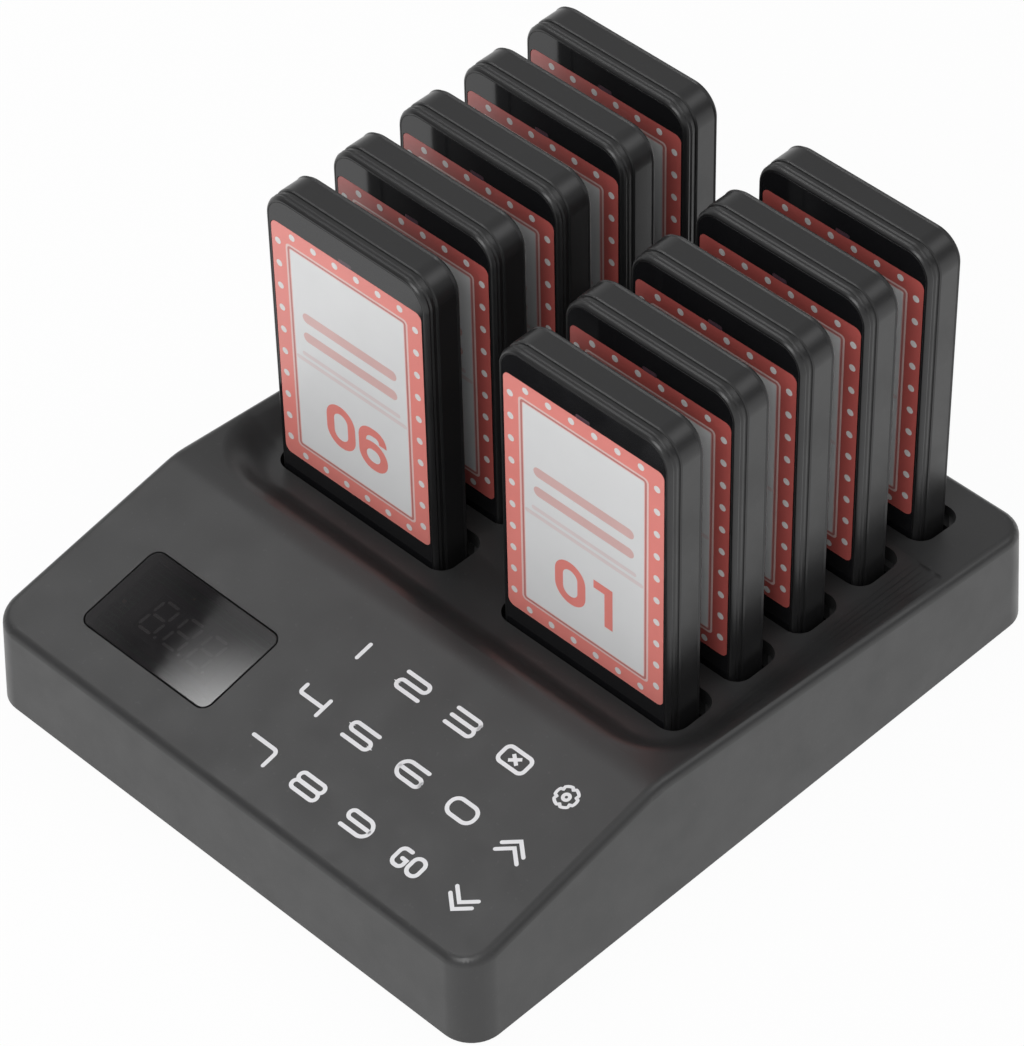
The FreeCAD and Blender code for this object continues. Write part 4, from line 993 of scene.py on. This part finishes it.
def studio_world():
    """White at the horizon. Higher up it is dimmer at the front left, back and right, with a bright patch."""
    world = bpy.data.worlds.new("surround")
    bpy.context.scene.world = world
    world.use_nodes = True
    tree = world.node_tree
    background = tree.nodes["Background"]
    background.inputs["Color"].default_value = (1.0, 1.0, 1.0, 1.0)
    way = tree.nodes.new("ShaderNodeTexCoord").outputs["Generated"]

    def zone(direction, edge, low, high, full=1.0):
        """low away from the direction, and high where the cosine to it is at full or more."""
        along = tree.nodes.new("ShaderNodeVectorMath")
        along.operation = "DOT_PRODUCT"
        along.inputs[1].default_value = Vector(direction).normalized()
        tree.links.new(way, along.inputs[0])
        return remap(tree, along.outputs["Value"], low, high, edge, full, "SMOOTHSTEP")

    front_left = zone((-0.52, -0.74, 0.36), 0.70, 0.58, 0.20)
    back = zone((0.10, 0.98, 0.15), 0.62, 1.0, 0.40, 0.88)
    right = zone((0.80, 0.58, 0.10), 0.70, 1.0, 0.50)
    patch = zone((0.42, 0.53, 0.74), 0.93, 0.0, 1.5)
    sides = combine(tree, "MULTIPLY", combine(tree, "MULTIPLY", front_left, back), right)
    level = combine(tree, "ADD", sides, patch)
    mix = tree.nodes.new("ShaderNodeMix")
    mix.data_type = "FLOAT"
    tree.links.new(zone((0, 0, 1), 0.03, 0.0, 1.0, 0.14), mix.inputs["Factor"])
    mix.inputs[2].default_value = 1.0
    tree.links.new(level, mix.inputs[3])
    tree.links.new(mix.outputs[0], background.inputs["Strength"])


def softbox(name, place, size, cloth_level, core_level, core, edge):
    """Rectangle of lit cloth with a hot round middle, facing down. The camera itself doesn't see it.

    size has the four edges from its middle, left, right, front and back, with left and right
    exchanged in the room because the cloth is turned over. core and edge are radii.
    """
    material = bpy.data.materials.new(name)
    material.use_nodes = True
    tree = material.node_tree
    tree.nodes.clear()
    out = tree.nodes.new("ShaderNodeOutputMaterial")
    glow = tree.nodes.new("ShaderNodeEmission")
    spot = tree.nodes.new("ShaderNodeVectorMath")
    spot.operation = "LENGTH"
    tree.links.new(object_coords(tree), spot.inputs[0])
    level = remap(tree, spot.outputs["Value"], core_level, cloth_level, core, edge, "SMOOTHSTEP")
    tree.links.new(level, glow.inputs["Strength"])
    tree.links.new(glow.outputs[0], out.inputs["Surface"])
    mesh = bpy.data.meshes.new(name)
    left, right, front, back = size
    corners = [(left, front, 0), (right, front, 0), (right, back, 0), (left, back, 0)]
    mesh.from_pydata(corners, [], [(0, 1, 2, 3)])
    mesh.materials.append(material)
    cloth = bpy.data.objects.new(name, mesh)
    cloth.location = place
    cloth.rotation_euler = (0.0, math.pi, 0.0)
    cloth.visible_camera = False
    bpy.context.scene.collection.objects.link(cloth)


def soft_lamp(name, place, target, width, height, power):
    data = bpy.data.lights.new(name, "AREA")
    data.shape = "RECTANGLE"
    data.size, data.size_y = width, height
    data.energy = power
    lamp = bpy.data.objects.new(name, data)
    lamp.location = place
    lamp.rotation_euler = (Vector(target) - Vector(place)).to_track_quat("-Z", "Y").to_euler()
    bpy.context.scene.collection.objects.link(lamp)


studio_floor()
studio_world()
soft_lamp("lamp_front", (0.35, -1.15, 1.25), (0, 0, 0.03), 1.0, 0.8, 11.0)
softbox("softbox_near", (-0.74, 0.04, 1.20), (-0.42, 0.06, -0.45, 0.20), 1.25, 12.0, 0.014, 0.078)
softbox("softbox_side", (-0.45, -0.15, 1.19), (-0.22, 0.22, -0.24, 0.24), 1.25, 4.0, 0.06, 0.24)
softbox("softbox_far", (-1.20, 0.09, 1.20), (-0.40, 0.50, -0.42, 0.42), 0.15, 1.75, 0.26, 0.40)


# Camera at the photograph's place

PHOTO_WIDTH, PHOTO_HEIGHT = 1024.0, 1046.0
FOCAL_PIXELS, CENTRE_PIXELS = 4793.7, (505.7, 523.2)
CAMERA_AZIMUTH, CAMERA_ELEVATION = math.radians(45.576), math.radians(44.463)
CAMERA_ROLL = math.radians(-1.44)
CAMERA_TARGET, CAMERA_DISTANCE = Vector((-0.002653, 0.000351, 0.04074)), 1.1124
SENSOR_HEIGHT = 36.0


def studio_camera():
    azimuth, elevation, roll = CAMERA_AZIMUTH, CAMERA_ELEVATION, CAMERA_ROLL
    back = Vector((math.sin(azimuth) * math.cos(elevation), -math.cos(azimuth) * math.cos(elevation),
                   math.sin(elevation)))
    right = Vector((math.cos(azimuth), math.sin(azimuth), 0.0))
    up = back.cross(right)
    side = right * math.cos(roll) + up * math.sin(roll)
    head = up * math.cos(roll) - right * math.sin(roll)
    data = bpy.data.cameras.new("camera")
    data.sensor_fit = "VERTICAL"
    data.sensor_height = SENSOR_HEIGHT
    data.lens = FOCAL_PIXELS * SENSOR_HEIGHT / PHOTO_HEIGHT
    data.shift_x = (PHOTO_WIDTH / 2 - CENTRE_PIXELS[0]) / PHOTO_HEIGHT
    data.shift_y = (CENTRE_PIXELS[1] - PHOTO_HEIGHT / 2) / PHOTO_HEIGHT
    data.clip_start, data.clip_end = 0.05, 50.0
    camera = bpy.data.objects.new("camera", data)
    place = CAMERA_TARGET + back * CAMERA_DISTANCE
    camera.matrix_world = Matrix(((side.x, head.x, back.x, place.x), (side.y, head.y, back.y, place.y),
                                  (side.z, head.z, back.z, place.z), (0, 0, 0, 1)))
    bpy.context.scene.collection.objects.link(camera)
    bpy.context.scene.camera = camera


studio_camera()
bpy.context.scene.view_settings.view_transform = "Standard"
